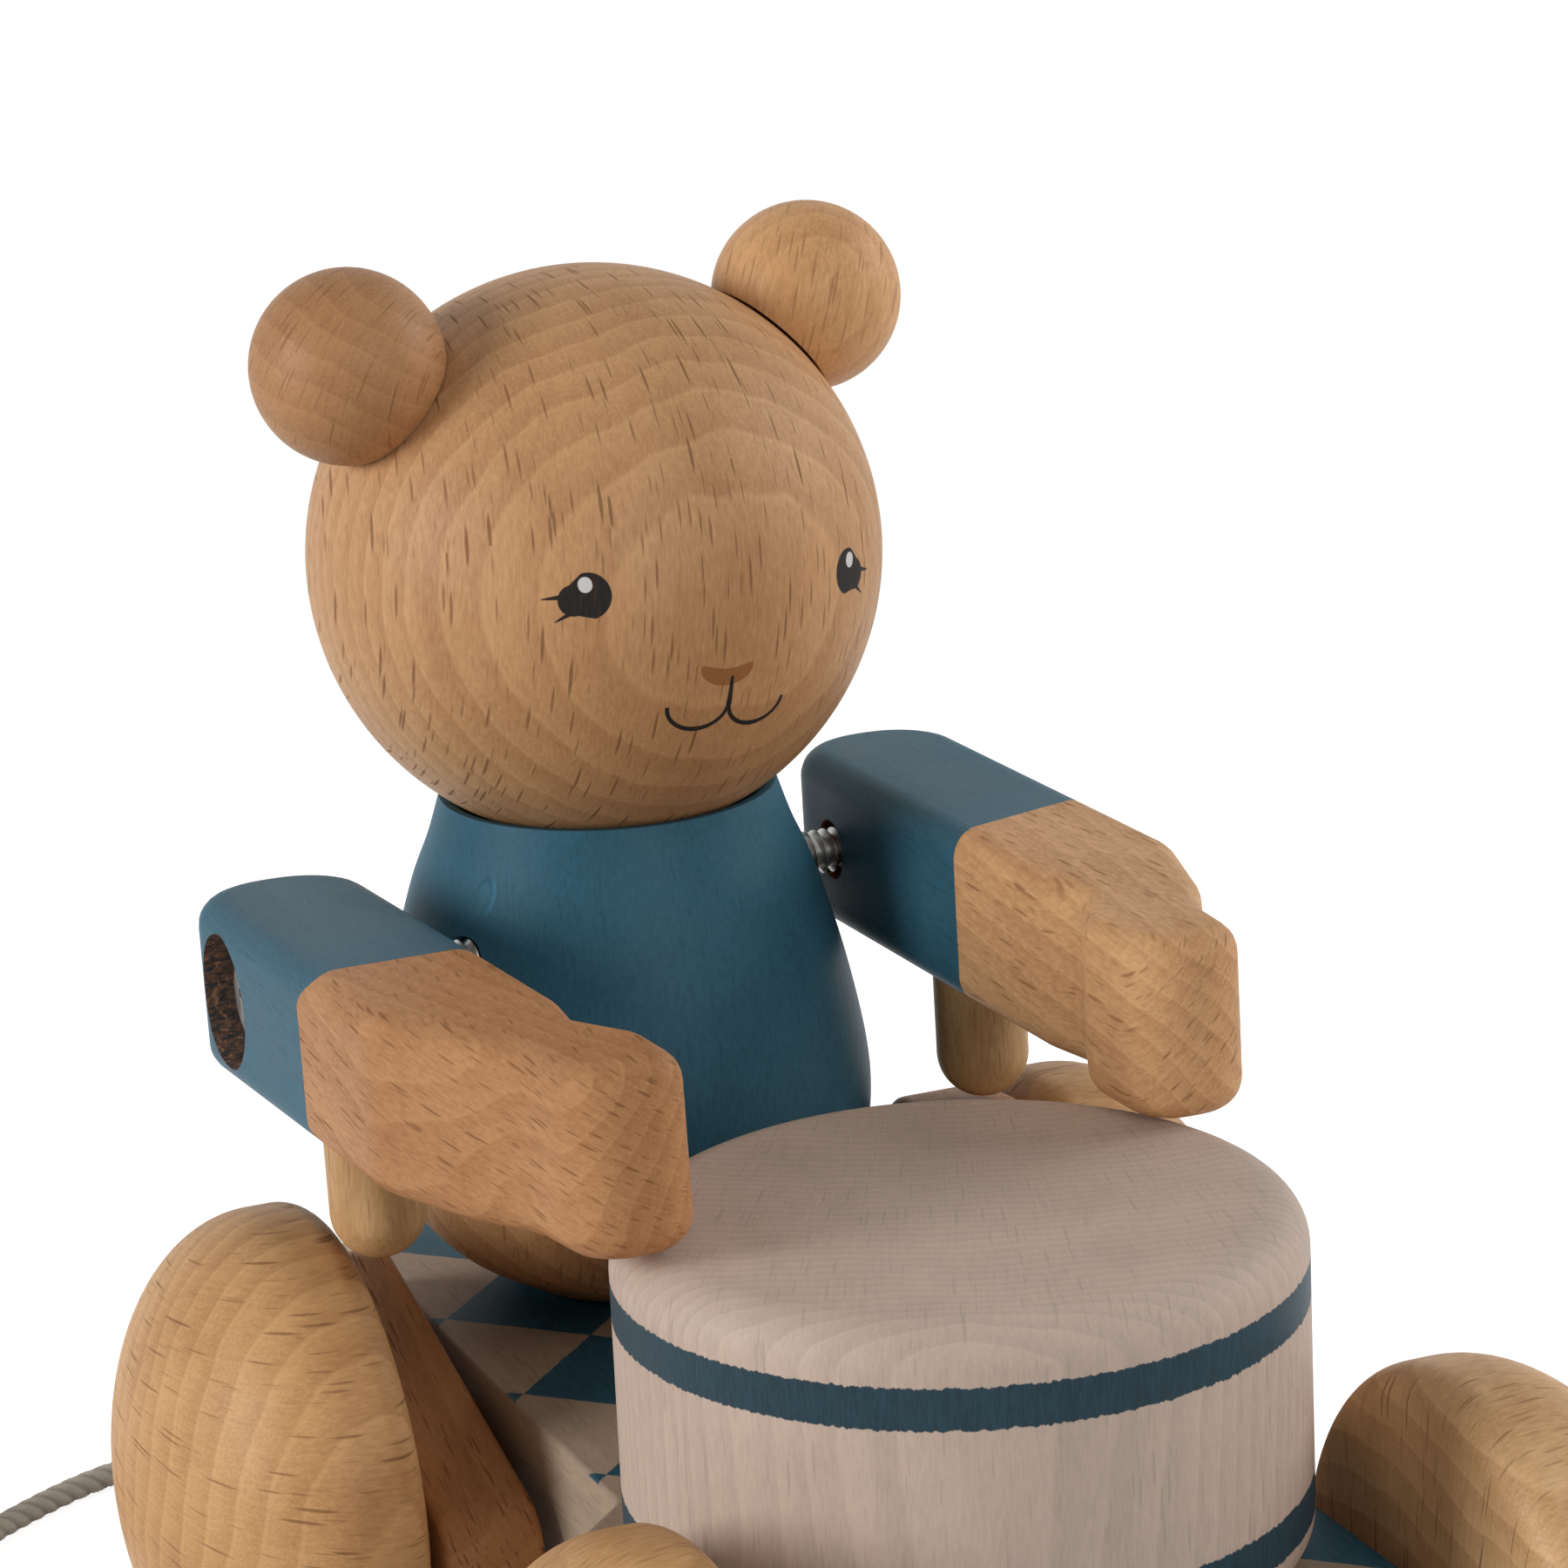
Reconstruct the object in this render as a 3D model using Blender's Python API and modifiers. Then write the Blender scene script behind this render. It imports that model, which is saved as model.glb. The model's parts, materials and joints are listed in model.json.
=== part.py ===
"""Drumming bear pull toy in turned beech, with two cams on the rear axle that lift its arms.

Metres, +Z up. The bear faces -Y, its left is +X, and the wheels stand on Z = 0.
"""
import math

import bmesh
import bpy
import numpy as np
from mathutils import Matrix, Vector

MM = 0.001

# Clearances in millimetres: between touching pieces, and round what turns.
GAP = 0.3
RUN_GAP = 0.3
SCREW_GAP = 0.4
PILOT_GAP = 1.0
CAM_GAP = 0.4

# How far a drill starts outside the face that it enters
OVERCUT = 3.0

# Wheels and axles
WHEEL_R = 28.0
WHEEL_EDGE_R = 3.7
WHEEL_TREAD = 2.5
WHEEL_DOME = 17.5
WHEEL_SPACE = 1.7
AXLE_R = 4.0
AXLE_GRIP = 14.7
AXLE_CHAMFER = 0.8
WHEELBASE = 94.9
FRONT_AXLE_Y = -57.2

# Board
BOARD_THICK = 18.0
BOARD_FRONT_HALF = 33.8
BOARD_REAR_HALF = 25.2
BOARD_FRONT_Y = -73.0
BOARD_REAR_Y = 81.7
FLARE_FRONT_Y = -12.8
FLARE_LENGTH = 8.5
BOARD_CORNER_R = 2.5
BOARD_EDGE = 0.8

# Cams on the rear axle
CAM_LENGTH = 53.6
CAM_WIDTH = 19.0
CAM_THICK = 10.4
CAM_CORNER_R = 6.0
CAM_EDGE = 1.0
CAM_SPACE = 2.0
CAM_WHEEL_SPACE = 1.2
CAM_RIGHT_ANGLE = 16.7
CAM_LEFT_ANGLE = 84.0

# Body, head and ears; the body's curve is (radius, share of its height)
BEAR_BEHIND_AXLE = 17.5
BODY_HEIGHT = 53.6
BODY_RIM_R = 17.8
BODY_FOOT_R = 12.5
BODY_CURVE = ((19.3, 0.914), (21.6, 0.806), (24.7, 0.593), (26.4, 0.382), (25.0, 0.22), (20.0, 0.09))
DISH_R = 17.0
HEAD_R = 30.0
HEAD_TURN = 7.5
NECK_DOWEL_R = 5.0
NECK_DOWEL_HALF = 13.0
EAR_R = 10.0
EAR_STAND = 5.6
EAR_ANGLE = 41.2
EAR_DOWEL_R = 2.5
EAR_DOWEL_IN = 10.0
EAR_DOWEL_OUT = 5.0

# Drum
DRUM_BEHIND_AXLE = 25.4
DRUM_R = 32.4
DRUM_HEIGHT = 34.7
DRUM_EDGE_R = 4.5

# Arms, lengths measured from the shoulder screw; both sit a little to the bear's right
ARM_INNER_X = 26.5
ARM_OUTER_X = 44.8
ARM_SHIFT = -1.3
ARM_THICK = 18.4
ARM_BACK = 14.2
ARM_EDGE_R = 3.0
ARM_CORNER_R = 8.5
SLEEVE_END_R = 5.0
SLEEVE_BEND_R = 12.0
WRIST_INSET = 1.2
WRIST_R = 4.0
WRIST_BEND_R = 10.0
PAW_BEND_R = 5.0
PAW_END_R = 5.5
PAW_TAPER = 1.0
PAW_FRONT = 80.5
PAW_BACK = 68.0
WRIST = 60.0
SLEEVE_FRONT = 52.0
PAW_INNER_X = 24.1
PAW_OUTER_X = 37.1
PAW_REACH = 70.0
COUNTERBORE_R = 7.0
COUNTERBORE_DEPTH = 6.0

# Shoulders: how far in front of the body's axis each screw sits, and at what share of the body's height
RIGHT_SHOULDER = (9.1, 0.7405)
LEFT_SHOULDER = (-0.2, 0.7885)

# Lifting pegs under the arms
PEG_R = 4.9
PEG_SOCKET = 9.0
PEG_AHEAD = 17.0

# Shoulder screws and washers
SHOULDER_R = 2.4
SHOULDER_PLAY = 0.8
SHOULDER_HEAD_R = 5.2
SHOULDER_HEAD = 1.7
SHOULDER_HEAD_EDGE = 0.8
SHOULDER_POINT = 2.0
SHOULDER_POINT_R = 1.4
SHOULDER_TIP_X = 14.0
WASHER_R = 6.4
WASHER_THICK = 0.8

# Wood screws from under the board
WOOD_SCREW_R = 2.2
WOOD_SCREW_HEAD_R = 4.4
WOOD_SCREW_HEAD = 2.6
WOOD_SCREW_BITE = 20.0
WOOD_SCREW_TAPER = 5.0
WOOD_SCREW_RIM = 0.5

# Pull cord, its coil, tie, bead and knot. Its places are measured from the hole's mouth: first those
# in the air, with their share of the mouth's height, then those on the floor.
CORD_R = 1.4
CORD_STEP = 6.5
CORD_HOLE_DEPTH = 10.0
CORD_DROP = ((0.0, 7.0, 1.0), (-1.0, 14.0, 0.7), (-4.0, 20.5, 0.286), (-13.0, 27.0, 0.04))
CORD_LIE = ((-28.0, 30.0), (-46.0, 27.0), (-60.0, 19.5))
COIL_START = (-73.0, 6.0)
COIL_SPACE = 0.7
COIL_OUTER_R = 18.0
COIL_TURNS = 2.25
COIL_LOOP_POINTS = 24
TAIL_LENGTH = 26.0
TAIL_POINTS = 8
TIE_R = 0.6
TIE_TURN = 0.62
KNOT_R = 3.4
BEAD_R = 8.0

# Facet counts of the round pieces
STEPS = 36
SMALL_STEPS = 16
BALL_STEPS = 20
RIM_STEPS = 24
FINE_STEPS = 12

# Places worked out from the driving sizes
AXLE_Z = WHEEL_R
REAR_AXLE_Y = FRONT_AXLE_Y + WHEELBASE
BOARD_TOP = AXLE_Z + BOARD_THICK / 2
FRONT_WHEEL_X = BOARD_FRONT_HALF + WHEEL_SPACE
BEAR_Y = REAR_AXLE_Y + BEAR_BEHIND_AXLE
DRUM_Y = FRONT_AXLE_Y + DRUM_BEHIND_AXLE
DRUM_TOP = BOARD_TOP + GAP + DRUM_HEIGHT
BODY_BASE = BOARD_TOP + GAP
HEAD_Z = BODY_BASE + BODY_HEIGHT + math.sqrt((HEAD_R + GAP) ** 2 - DISH_R ** 2)
ARM_MID_X = (ARM_INNER_X + ARM_OUTER_X) / 2
EAR_OUT = HEAD_R + EAR_STAND
CAM_SWEEP = math.hypot(CAM_LENGTH / 2 - CAM_CORNER_R, CAM_WIDTH / 2 - CAM_CORNER_R) + CAM_CORNER_R
PEG_CIRCLE = CAM_SWEEP + CAM_GAP + PEG_R
PEG_RISE = max(PEG_CIRCLE - WHEEL_R + WHEEL_EDGE_R, 0)
PEG_REACH = max(PEG_R + GAP + WHEEL_EDGE_R, PEG_RISE)
PEG_BESIDE_WHEEL = math.sqrt(PEG_REACH ** 2 - PEG_RISE ** 2) - WHEEL_EDGE_R
REAR_WHEEL_X = max(BOARD_REAR_HALF + CAM_SPACE + CAM_THICK + CAM_WHEEL_SPACE,
                   ARM_MID_X + abs(ARM_SHIFT) + PEG_BESIDE_WHEEL)
COIL_PITCH = 2 * CORD_R + COIL_SPACE

COLLECTION = "drumming_bear_pull_toy"
SIDES = (("right", -1), ("left", 1))
SHOULDERS = [(BEAR_Y - ahead, BODY_BASE + share * BODY_HEIGHT)
             for ahead, share in (RIGHT_SHOULDER, LEFT_SHOULDER)]


def new_collection(name):
    """A collection linked under the scene."""
    collection = bpy.data.collections.new(name)
    bpy.context.scene.collection.children.link(collection)
    return collection


def material(name, colour, roughness, metallic=0.0):
    """A Principled material with one colour."""
    made = bpy.data.materials.new(name)
    made.use_nodes = True
    shader = made.node_tree.nodes["Principled BSDF"]
    shader.inputs["Base Color"].default_value = (*colour, 1.0)
    shader.inputs["Roughness"].default_value = roughness
    shader.inputs["Metallic"].default_value = metallic
    return made


def empty(name, place):
    """A joint's empty, with its place given in millimetres."""
    made = bpy.data.objects.new(name, None)
    made.location = Vector(place) * MM
    PARTS.objects.link(made)
    return made


def add_part(name, mesh, look, place=(0, 0, 0), turn=(0, 0, 0), parent=None):
    """A named sub-part: its mesh in metres, its place in millimetres and its turn in degrees."""
    part = bpy.data.objects.new(name, mesh)
    part.location = Vector(place) * MM
    part.rotation_euler = [math.radians(angle) for angle in turn]
    part.parent = parent
    mesh.materials.append(look)
    mesh.shade_smooth()
    mesh.set_sharp_from_angle(angle=math.radians(35))
    PARTS.objects.link(part)
    return part


def profile_mesh(name, profile):
    """The open outline of a turned piece, (radius, height) from the top of its axis round to the bottom."""
    mesh = bpy.data.meshes.new(name)
    verts = [(radius * MM, 0, height * MM) for radius, height in profile]
    mesh.from_pydata(verts, [(k, k + 1) for k in range(len(verts) - 1)], [])
    return mesh


def turned(name, profile, look, steps=STEPS, **placing):
    """A turned piece: its profile with a Screw modifier."""
    part = add_part(name, profile_mesh(name, profile), look, **placing)
    screw = part.modifiers.new("turn", "SCREW")
    screw.steps = steps
    screw.render_steps = steps
    screw.use_merge_vertices = True
    screw.merge_threshold = 0.00001
    return part


def arc(centre, radius, start, end, count):
    """Points along an arc in a profile or outline, its angles in degrees."""
    angles = [math.radians(start + (end - start) * k / count) for k in range(count + 1)]
    return [(centre[0] + radius * math.cos(a), centre[1] + radius * math.sin(a)) for a in angles]


def rounded(corners, count=4):
    """A closed outline through (x, y, radius) corners, each rounded by an arc of its radius."""
    outline = []
    for k, (x, y, radius) in enumerate(corners):
        here = Vector((x, y))
        before = (Vector(corners[k - 1][:2]) - here).normalized()
        after = (Vector(corners[(k + 1) % len(corners)][:2]) - here).normalized()
        half = before.angle(after) / 2
        centre = here + (before + after).normalized() * radius / math.sin(half)
        first = here + before * radius / math.tan(half) - centre
        last = here + after * radius / math.tan(half) - centre
        sweep = first.angle_signed(last)
        outline += [centre + Matrix.Rotation(-sweep * step / count, 2) @ first for step in range(count + 1)]
    return outline


def as_mesh(curve_object, name):
    """The curve's evaluated solid as a mesh with its caps welded on."""
    PARTS.objects.link(curve_object)
    evaluated = curve_object.evaluated_get(bpy.context.evaluated_depsgraph_get())
    mesh = bpy.data.meshes.new_from_object(evaluated)
    mesh.name = name
    curve = curve_object.data
    bpy.data.objects.remove(curve_object)
    bpy.data.curves.remove(curve)
    work = bmesh.new()
    work.from_mesh(mesh)
    bmesh.ops.remove_doubles(work, verts=work.verts, dist=0.000005)
    bmesh.ops.dissolve_limit(work, angle_limit=math.radians(0.5), verts=work.verts, edges=work.edges)
    bmesh.ops.recalc_face_normals(work, faces=work.faces)
    work.to_mesh(mesh)
    work.free()
    mesh.materials.clear()
    return mesh


def plate_mesh(name, outline, thick):
    """A flat outline in XY, filled and given its thickness about Z = 0."""
    curve = bpy.data.curves.new(name, "CURVE")
    curve.dimensions = "2D"
    curve.fill_mode = "BOTH"
    curve.extrude = thick / 2 * MM
    spline = curve.splines.new("POLY")
    spline.points.add(len(outline) - 1)
    for point, (x, y) in zip(spline.points, outline):
        point.co = (x * MM, y * MM, 0, 1)
    spline.use_cyclic_u = True
    return as_mesh(bpy.data.objects.new(name, curve), name)


def tube_mesh(name, points, radius, resolution, closed=False):
    """A round tube along points in millimetres, with filled ends unless it is closed."""
    curve = bpy.data.curves.new(name, "CURVE")
    curve.dimensions = "3D"
    curve.bevel_depth = radius * MM
    curve.bevel_resolution = resolution
    curve.use_fill_caps = not closed
    curve.twist_mode = "MINIMUM"
    spline = curve.splines.new("POLY")
    spline.points.add(len(points) - 1)
    for point, place in zip(spline.points, points):
        point.co = (*(Vector(place) * MM), 1)
    spline.use_cyclic_u = closed
    return as_mesh(bpy.data.objects.new(name, curve), name)


def soften(part, width, segments):
    """Rounds the part's sharp edges."""
    bevel = part.modifiers.new("round_edges", "BEVEL")
    bevel.width = width * MM
    bevel.segments = segments
    bevel.limit_method = "ANGLE"
    bevel.angle_limit = math.radians(50)
    bevel.use_clamp_overlap = False


def cut(part, cutter):
    """Takes the cutter's shape out of the part."""
    cutter.hide_render = True
    cutter.display_type = "WIRE"
    boolean = part.modifiers.new(cutter.name, "BOOLEAN")
    boolean.operation = "DIFFERENCE"
    boolean.solver = "EXACT"
    boolean.object = cutter


def drill(part, name, radius, start, end, steps=SMALL_STEPS):
    """Drills a round hole between two places in millimetres, in the part's own frame."""
    start = Vector(start) * MM
    end = Vector(end) * MM
    work = bmesh.new()
    bmesh.ops.create_cone(work, cap_ends=True, segments=steps, radius1=radius * MM, radius2=radius * MM,
                          depth=(end - start).length)
    mesh = bpy.data.meshes.new(name)
    work.to_mesh(mesh)
    work.free()
    cutter = bpy.data.objects.new(name, mesh)
    turn = (end - start).to_track_quat("Z", "Y").to_matrix().to_4x4()
    cutter.matrix_local = Matrix.Translation((start + end) / 2) @ turn
    cutter.parent = part
    CUTTERS.objects.link(cutter)
    cut(part, cutter)


def ball_mesh(name, radius, segments, rings):
    """A ball from the sphere primitive."""
    work = bmesh.new()
    bmesh.ops.create_uvsphere(work, u_segments=segments, v_segments=rings, radius=radius * MM)
    mesh = bpy.data.meshes.new(name)
    work.to_mesh(mesh)
    work.free()
    return mesh


def smooth_path(points, step):
    """Points about a step apart on a Catmull-Rom curve through the given points."""
    points = [Vector(point) for point in points]
    padded = [2 * points[0] - points[1]] + points + [2 * points[-1] - points[-2]]
    path = [points[0]]
    for before, start, end, after in zip(padded, padded[1:], padded[2:], padded[3:]):
        count = max(1, round((end - start).length / step))
        for k in range(1, count + 1):
            t = k / count
            bend = 2 * before - 5 * start + 4 * end - after
            swing = 3 * start - before - 3 * end + after
            path.append(0.5 * (2 * start + (end - before) * t + bend * t ** 2 + swing * t ** 3))
    return path


def make_board():
    """The board with its flare, drilled for both axles, two screws from below and the cord."""
    flare_rear_y = FLARE_FRONT_Y + FLARE_LENGTH
    half = [(BOARD_REAR_HALF, BOARD_REAR_Y), (BOARD_REAR_HALF, flare_rear_y),
            (BOARD_FRONT_HALF, FLARE_FRONT_Y), (BOARD_FRONT_HALF, BOARD_FRONT_Y)]
    corners = [(x, y, BOARD_CORNER_R) for x, y in half]
    corners += [(-x, y, BOARD_CORNER_R) for x, y in reversed(half)]
    board = add_part("platform", plate_mesh("platform", rounded(corners, 2), BOARD_THICK), BEIGE_PAINT,
                     place=(0, 0, AXLE_Z))
    soften(board, BOARD_EDGE, 2)
    reach = BOARD_FRONT_HALF + OVERCUT
    for end, y in (("front", FRONT_AXLE_Y), ("rear", REAR_AXLE_Y)):
        drill(board, f"{end}_axle_hole", AXLE_R + RUN_GAP, (-reach, y, 0), (reach, y, 0))
    below = -BOARD_THICK / 2
    for owner, y in (("body", BEAR_Y), ("drum", DRUM_Y)):
        drill(board, f"{owner}_screw_hole", WOOD_SCREW_R + SCREW_GAP, (0, y, below - OVERCUT),
              (0, y, -below + OVERCUT))
        sink = WOOD_SCREW_HEAD + SCREW_GAP
        drill(board, f"{owner}_screw_sink", WOOD_SCREW_HEAD_R + SCREW_GAP, (0, y, below - OVERCUT),
              (0, y, below + sink))
    drill(board, "cord_hole", CORD_R + SCREW_GAP, (0, BOARD_REAR_Y - CORD_HOLE_DEPTH, 0),
          (0, BOARD_REAR_Y + OVERCUT, 0), FINE_STEPS)


def wheel_profile():
    """The wheel's outline from the top of its dome, over the tread and inner face into its blind bore."""
    bore_r = AXLE_R + GAP
    bore_depth = AXLE_GRIP + GAP
    rim = WHEEL_EDGE_R + WHEEL_TREAD
    edge = arc((WHEEL_R - WHEEL_EDGE_R, WHEEL_EDGE_R), WHEEL_EDGE_R, -90, 0, 4)
    dome = [(WHEEL_R * x, rim + WHEEL_DOME * y) for x, y in arc((0, 0), 1, 0, 90, 7)]
    inner = [(0, bore_depth), (bore_r, bore_depth), (bore_r, 0)]
    return [(abs(radius), height) for radius, height in reversed(inner + edge + dome)]


def make_axle(end, y, wheel_x):
    """An axle with a wheel at each end, under an empty on the axle's line."""
    joint = empty(f"{end}_axle_joint", (0, y, AXLE_Z))
    half = wheel_x + AXLE_GRIP
    face_r = AXLE_R - AXLE_CHAMFER
    shoulder = half - AXLE_CHAMFER
    shaft = [(0, half), (face_r, half), (AXLE_R, shoulder), (AXLE_R, -shoulder), (face_r, -half), (0, -half)]
    turned(f"axle_{end}", shaft, BEECH, SMALL_STEPS, turn=(0, 90, 0), parent=joint)
    for side, sign in SIDES:
        turned(f"wheel_{end}_{side}", wheel_profile(), BEECH, place=(sign * wheel_x, 0, 0),
               turn=(0, sign * 90, 0), parent=joint)
    return joint


def make_cams(joint):
    """The two oblong cams, glued to the rear axle a part turn from each other."""
    half_length = CAM_LENGTH / 2
    half_width = CAM_WIDTH / 2
    corners = [(x, y, CAM_CORNER_R) for x, y in ((half_length, half_width), (half_length, -half_width),
                                                 (-half_length, -half_width), (-half_length, half_width))]
    middle = BOARD_REAR_HALF + CAM_SPACE + CAM_THICK / 2
    for (side, sign), angle in zip(SIDES, (CAM_RIGHT_ANGLE, CAM_LEFT_ANGLE)):
        mesh = plate_mesh(f"cam_{side}", rounded(corners, 5), CAM_THICK)
        mesh.transform(Matrix.Rotation(math.pi / 2, 4, "Z") @ Matrix.Rotation(math.pi / 2, 4, "X"))
        cam = add_part(f"cam_{side}", mesh, BEECH, place=(sign * middle, 0, 0), turn=(angle, 0, 0),
                       parent=joint)
        soften(cam, CAM_EDGE, 2)
        drill(cam, f"cam_{side}_bore", AXLE_R + GAP, (-CAM_THICK, 0, 0), (CAM_THICK, 0, 0))


def make_body():
    """The bell-shaped body, dished for the head and drilled for the neck dowel and three screws."""
    seat_r = HEAD_R + GAP
    hole_r = NECK_DOWEL_R + GAP
    centre = (0, HEAD_Z - BODY_BASE)
    dowel_end = centre[1] - HEAD_R - NECK_DOWEL_HALF - GAP
    dish = arc(centre, seat_r, math.degrees(math.asin(hole_r / seat_r)) - 90,
               math.degrees(math.asin(DISH_R / seat_r)) - 90, 5)
    rim = (BODY_RIM_R, 0, BODY_HEIGHT)
    foot = (BODY_FOOT_R, 0, 0)
    waist = [(radius, 0, share * BODY_HEIGHT) for radius, share in BODY_CURVE]
    side = [(point.x, point.z) for point in smooth_path([rim] + waist + [foot], 4.5)]
    screw_hole = WOOD_SCREW_R + GAP
    bite = WOOD_SCREW_BITE + PILOT_GAP
    profile = [(0, dowel_end), (hole_r, dowel_end)] + dish + side
    profile += [(screw_hole, 0), (screw_hole, bite), (0, bite)]
    body = turned("body", profile, BLUE_PAINT, place=(0, BEAR_Y, BODY_BASE))
    for (side_name, sign), (shoulder_y, shoulder_z) in zip(SIDES, SHOULDERS):
        place = Vector((ARM_SHIFT, shoulder_y - BEAR_Y, shoulder_z - BODY_BASE))
        deep = Vector((sign * (SHOULDER_TIP_X - PILOT_GAP), 0, 0))
        outside = Vector((sign * (ARM_INNER_X + OVERCUT), 0, 0))
        drill(body, f"shoulder_hole_{side_name}", SHOULDER_R + GAP, place + deep, place + outside)
    make_dowel("neck_dowel", NECK_DOWEL_R, NECK_DOWEL_HALF, SMALL_STEPS, place=(0, BEAR_Y, HEAD_Z - HEAD_R))


def make_dowel(name, radius, half, steps, **placing):
    """A plain dowel along its own Z, centred on its place."""
    return turned(name, [(0, half), (radius, half), (radius, -half), (0, -half)], BEECH, steps, **placing)


def make_head():
    """The ball head, turned to its left, with two ball ears cut to it and dowelled on."""
    turn = empty("head_turn", (0, BEAR_Y, HEAD_Z))
    turn.rotation_euler.z = math.radians(HEAD_TURN)
    head = add_part("head", ball_mesh("head", HEAD_R, STEPS, STEPS // 2), BEECH, parent=turn)
    drill(head, "neck_hole", NECK_DOWEL_R + GAP, (0, 0, -HEAD_R - OVERCUT),
          (0, 0, -HEAD_R + NECK_DOWEL_HALF + GAP))
    seat = bpy.data.objects.new("ear_seat", ball_mesh("ear_seat", HEAD_R + GAP, STEPS, STEPS // 2))
    seat.parent = turn
    CUTTERS.objects.link(seat)
    for side, sign in SIDES:
        out = Vector((sign * math.cos(math.radians(EAR_ANGLE)), 0, math.sin(math.radians(EAR_ANGLE))))
        inner = HEAD_R - EAR_DOWEL_IN
        outer = HEAD_R + EAR_DOWEL_OUT
        ball = ball_mesh(f"ear_{side}", EAR_R, BALL_STEPS, BALL_STEPS // 2)
        ear = add_part(f"ear_{side}", ball, BEECH, place=out * EAR_OUT, parent=turn)
        cut(ear, seat)
        drill(ear, f"ear_{side}_socket", EAR_DOWEL_R + GAP, out * (inner - EAR_OUT),
              out * (outer + GAP - EAR_OUT), FINE_STEPS)
        drill(head, f"ear_{side}_hole", EAR_DOWEL_R + GAP, out * (inner - GAP), out * (HEAD_R + OVERCUT),
              FINE_STEPS)
        half = (outer - inner) / 2
        dowel = make_dowel(f"ear_dowel_{side}", EAR_DOWEL_R, half, FINE_STEPS, place=out * (inner + half),
                           parent=turn)
        dowel.rotation_euler.y = sign * math.radians(90 - EAR_ANGLE)


def make_drum():
    """The solid drum with rounded rims and a pilot hole for its screw."""
    inset = DRUM_R - DRUM_EDGE_R
    top = arc((inset, DRUM_HEIGHT - DRUM_EDGE_R), DRUM_EDGE_R, 90, 0, 4)
    bottom = arc((inset, DRUM_EDGE_R), DRUM_EDGE_R, 0, -90, 4)
    hole = WOOD_SCREW_R + GAP
    bite = WOOD_SCREW_BITE + PILOT_GAP
    profile = [(0, DRUM_HEIGHT)] + top + bottom + [(hole, 0), (hole, bite), (0, bite)]
    turned("drum", profile, GREIGE_PAINT, place=(0, DRUM_Y, BOARD_TOP + GAP))


def make_wood_screw(owner, y):
    """A countersunk-in wood screw that holds the body or the drum from under the board."""
    head = -BOARD_THICK / 2 + WOOD_SCREW_HEAD
    tip = BOARD_THICK / 2 + GAP + WOOD_SCREW_BITE
    flush = head - WOOD_SCREW_HEAD + GAP
    profile = [(0, tip), (WOOD_SCREW_R, tip - WOOD_SCREW_TAPER), (WOOD_SCREW_R, head),
               (WOOD_SCREW_HEAD_R, flush + WOOD_SCREW_RIM), (WOOD_SCREW_HEAD_R, flush), (0, flush)]
    turned(f"{owner}_screw", profile, STEEL, SMALL_STEPS, place=(0, y, AXLE_Z))


def arm_outline(sign):
    """The arm seen from above, about its shoulder screw: a straight sleeve, a wrist and a blunt paw."""
    inner = ARM_INNER_X - ARM_MID_X
    outer = ARM_OUTER_X - ARM_MID_X
    paw_inner = PAW_INNER_X - ARM_MID_X
    paw_outer = PAW_OUTER_X - ARM_MID_X
    cuff = (outer + paw_outer) / 2
    corners = [(inner, ARM_BACK, ARM_CORNER_R), (inner, -SLEEVE_FRONT, SLEEVE_END_R),
               (inner + WRIST_INSET, -WRIST, WRIST_R), (paw_inner, -PAW_BACK, PAW_BEND_R),
               (paw_inner, -PAW_FRONT, PAW_END_R), (paw_outer - PAW_TAPER, -PAW_FRONT, PAW_END_R),
               (paw_outer, -PAW_BACK, WRIST_BEND_R), (cuff, -WRIST, WRIST_BEND_R),
               (outer, -SLEEVE_FRONT + SLEEVE_END_R, SLEEVE_BEND_R), (outer, ARM_BACK, ARM_CORNER_R)]
    return [(sign * point.x, point.y) for point in rounded(corners, 4)]


def peg_tip(shoulder_y, shoulder_z, rest):
    """How far below the arm's middle the peg's round tip is centred, just clear of the cam's circle."""
    tilt = Matrix.Rotation(-math.radians(rest), 3, "X")
    axle = Vector((0, REAR_AXLE_Y, AXLE_Z))
    start = Vector((0, shoulder_y, shoulder_z)) + tilt @ Vector((0, -PEG_AHEAD, 0)) - axle
    towards = -start.dot(tilt @ Vector((0, 0, -1)))
    return towards - math.sqrt(towards ** 2 - start.length_squared + PEG_CIRCLE ** 2)


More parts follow.
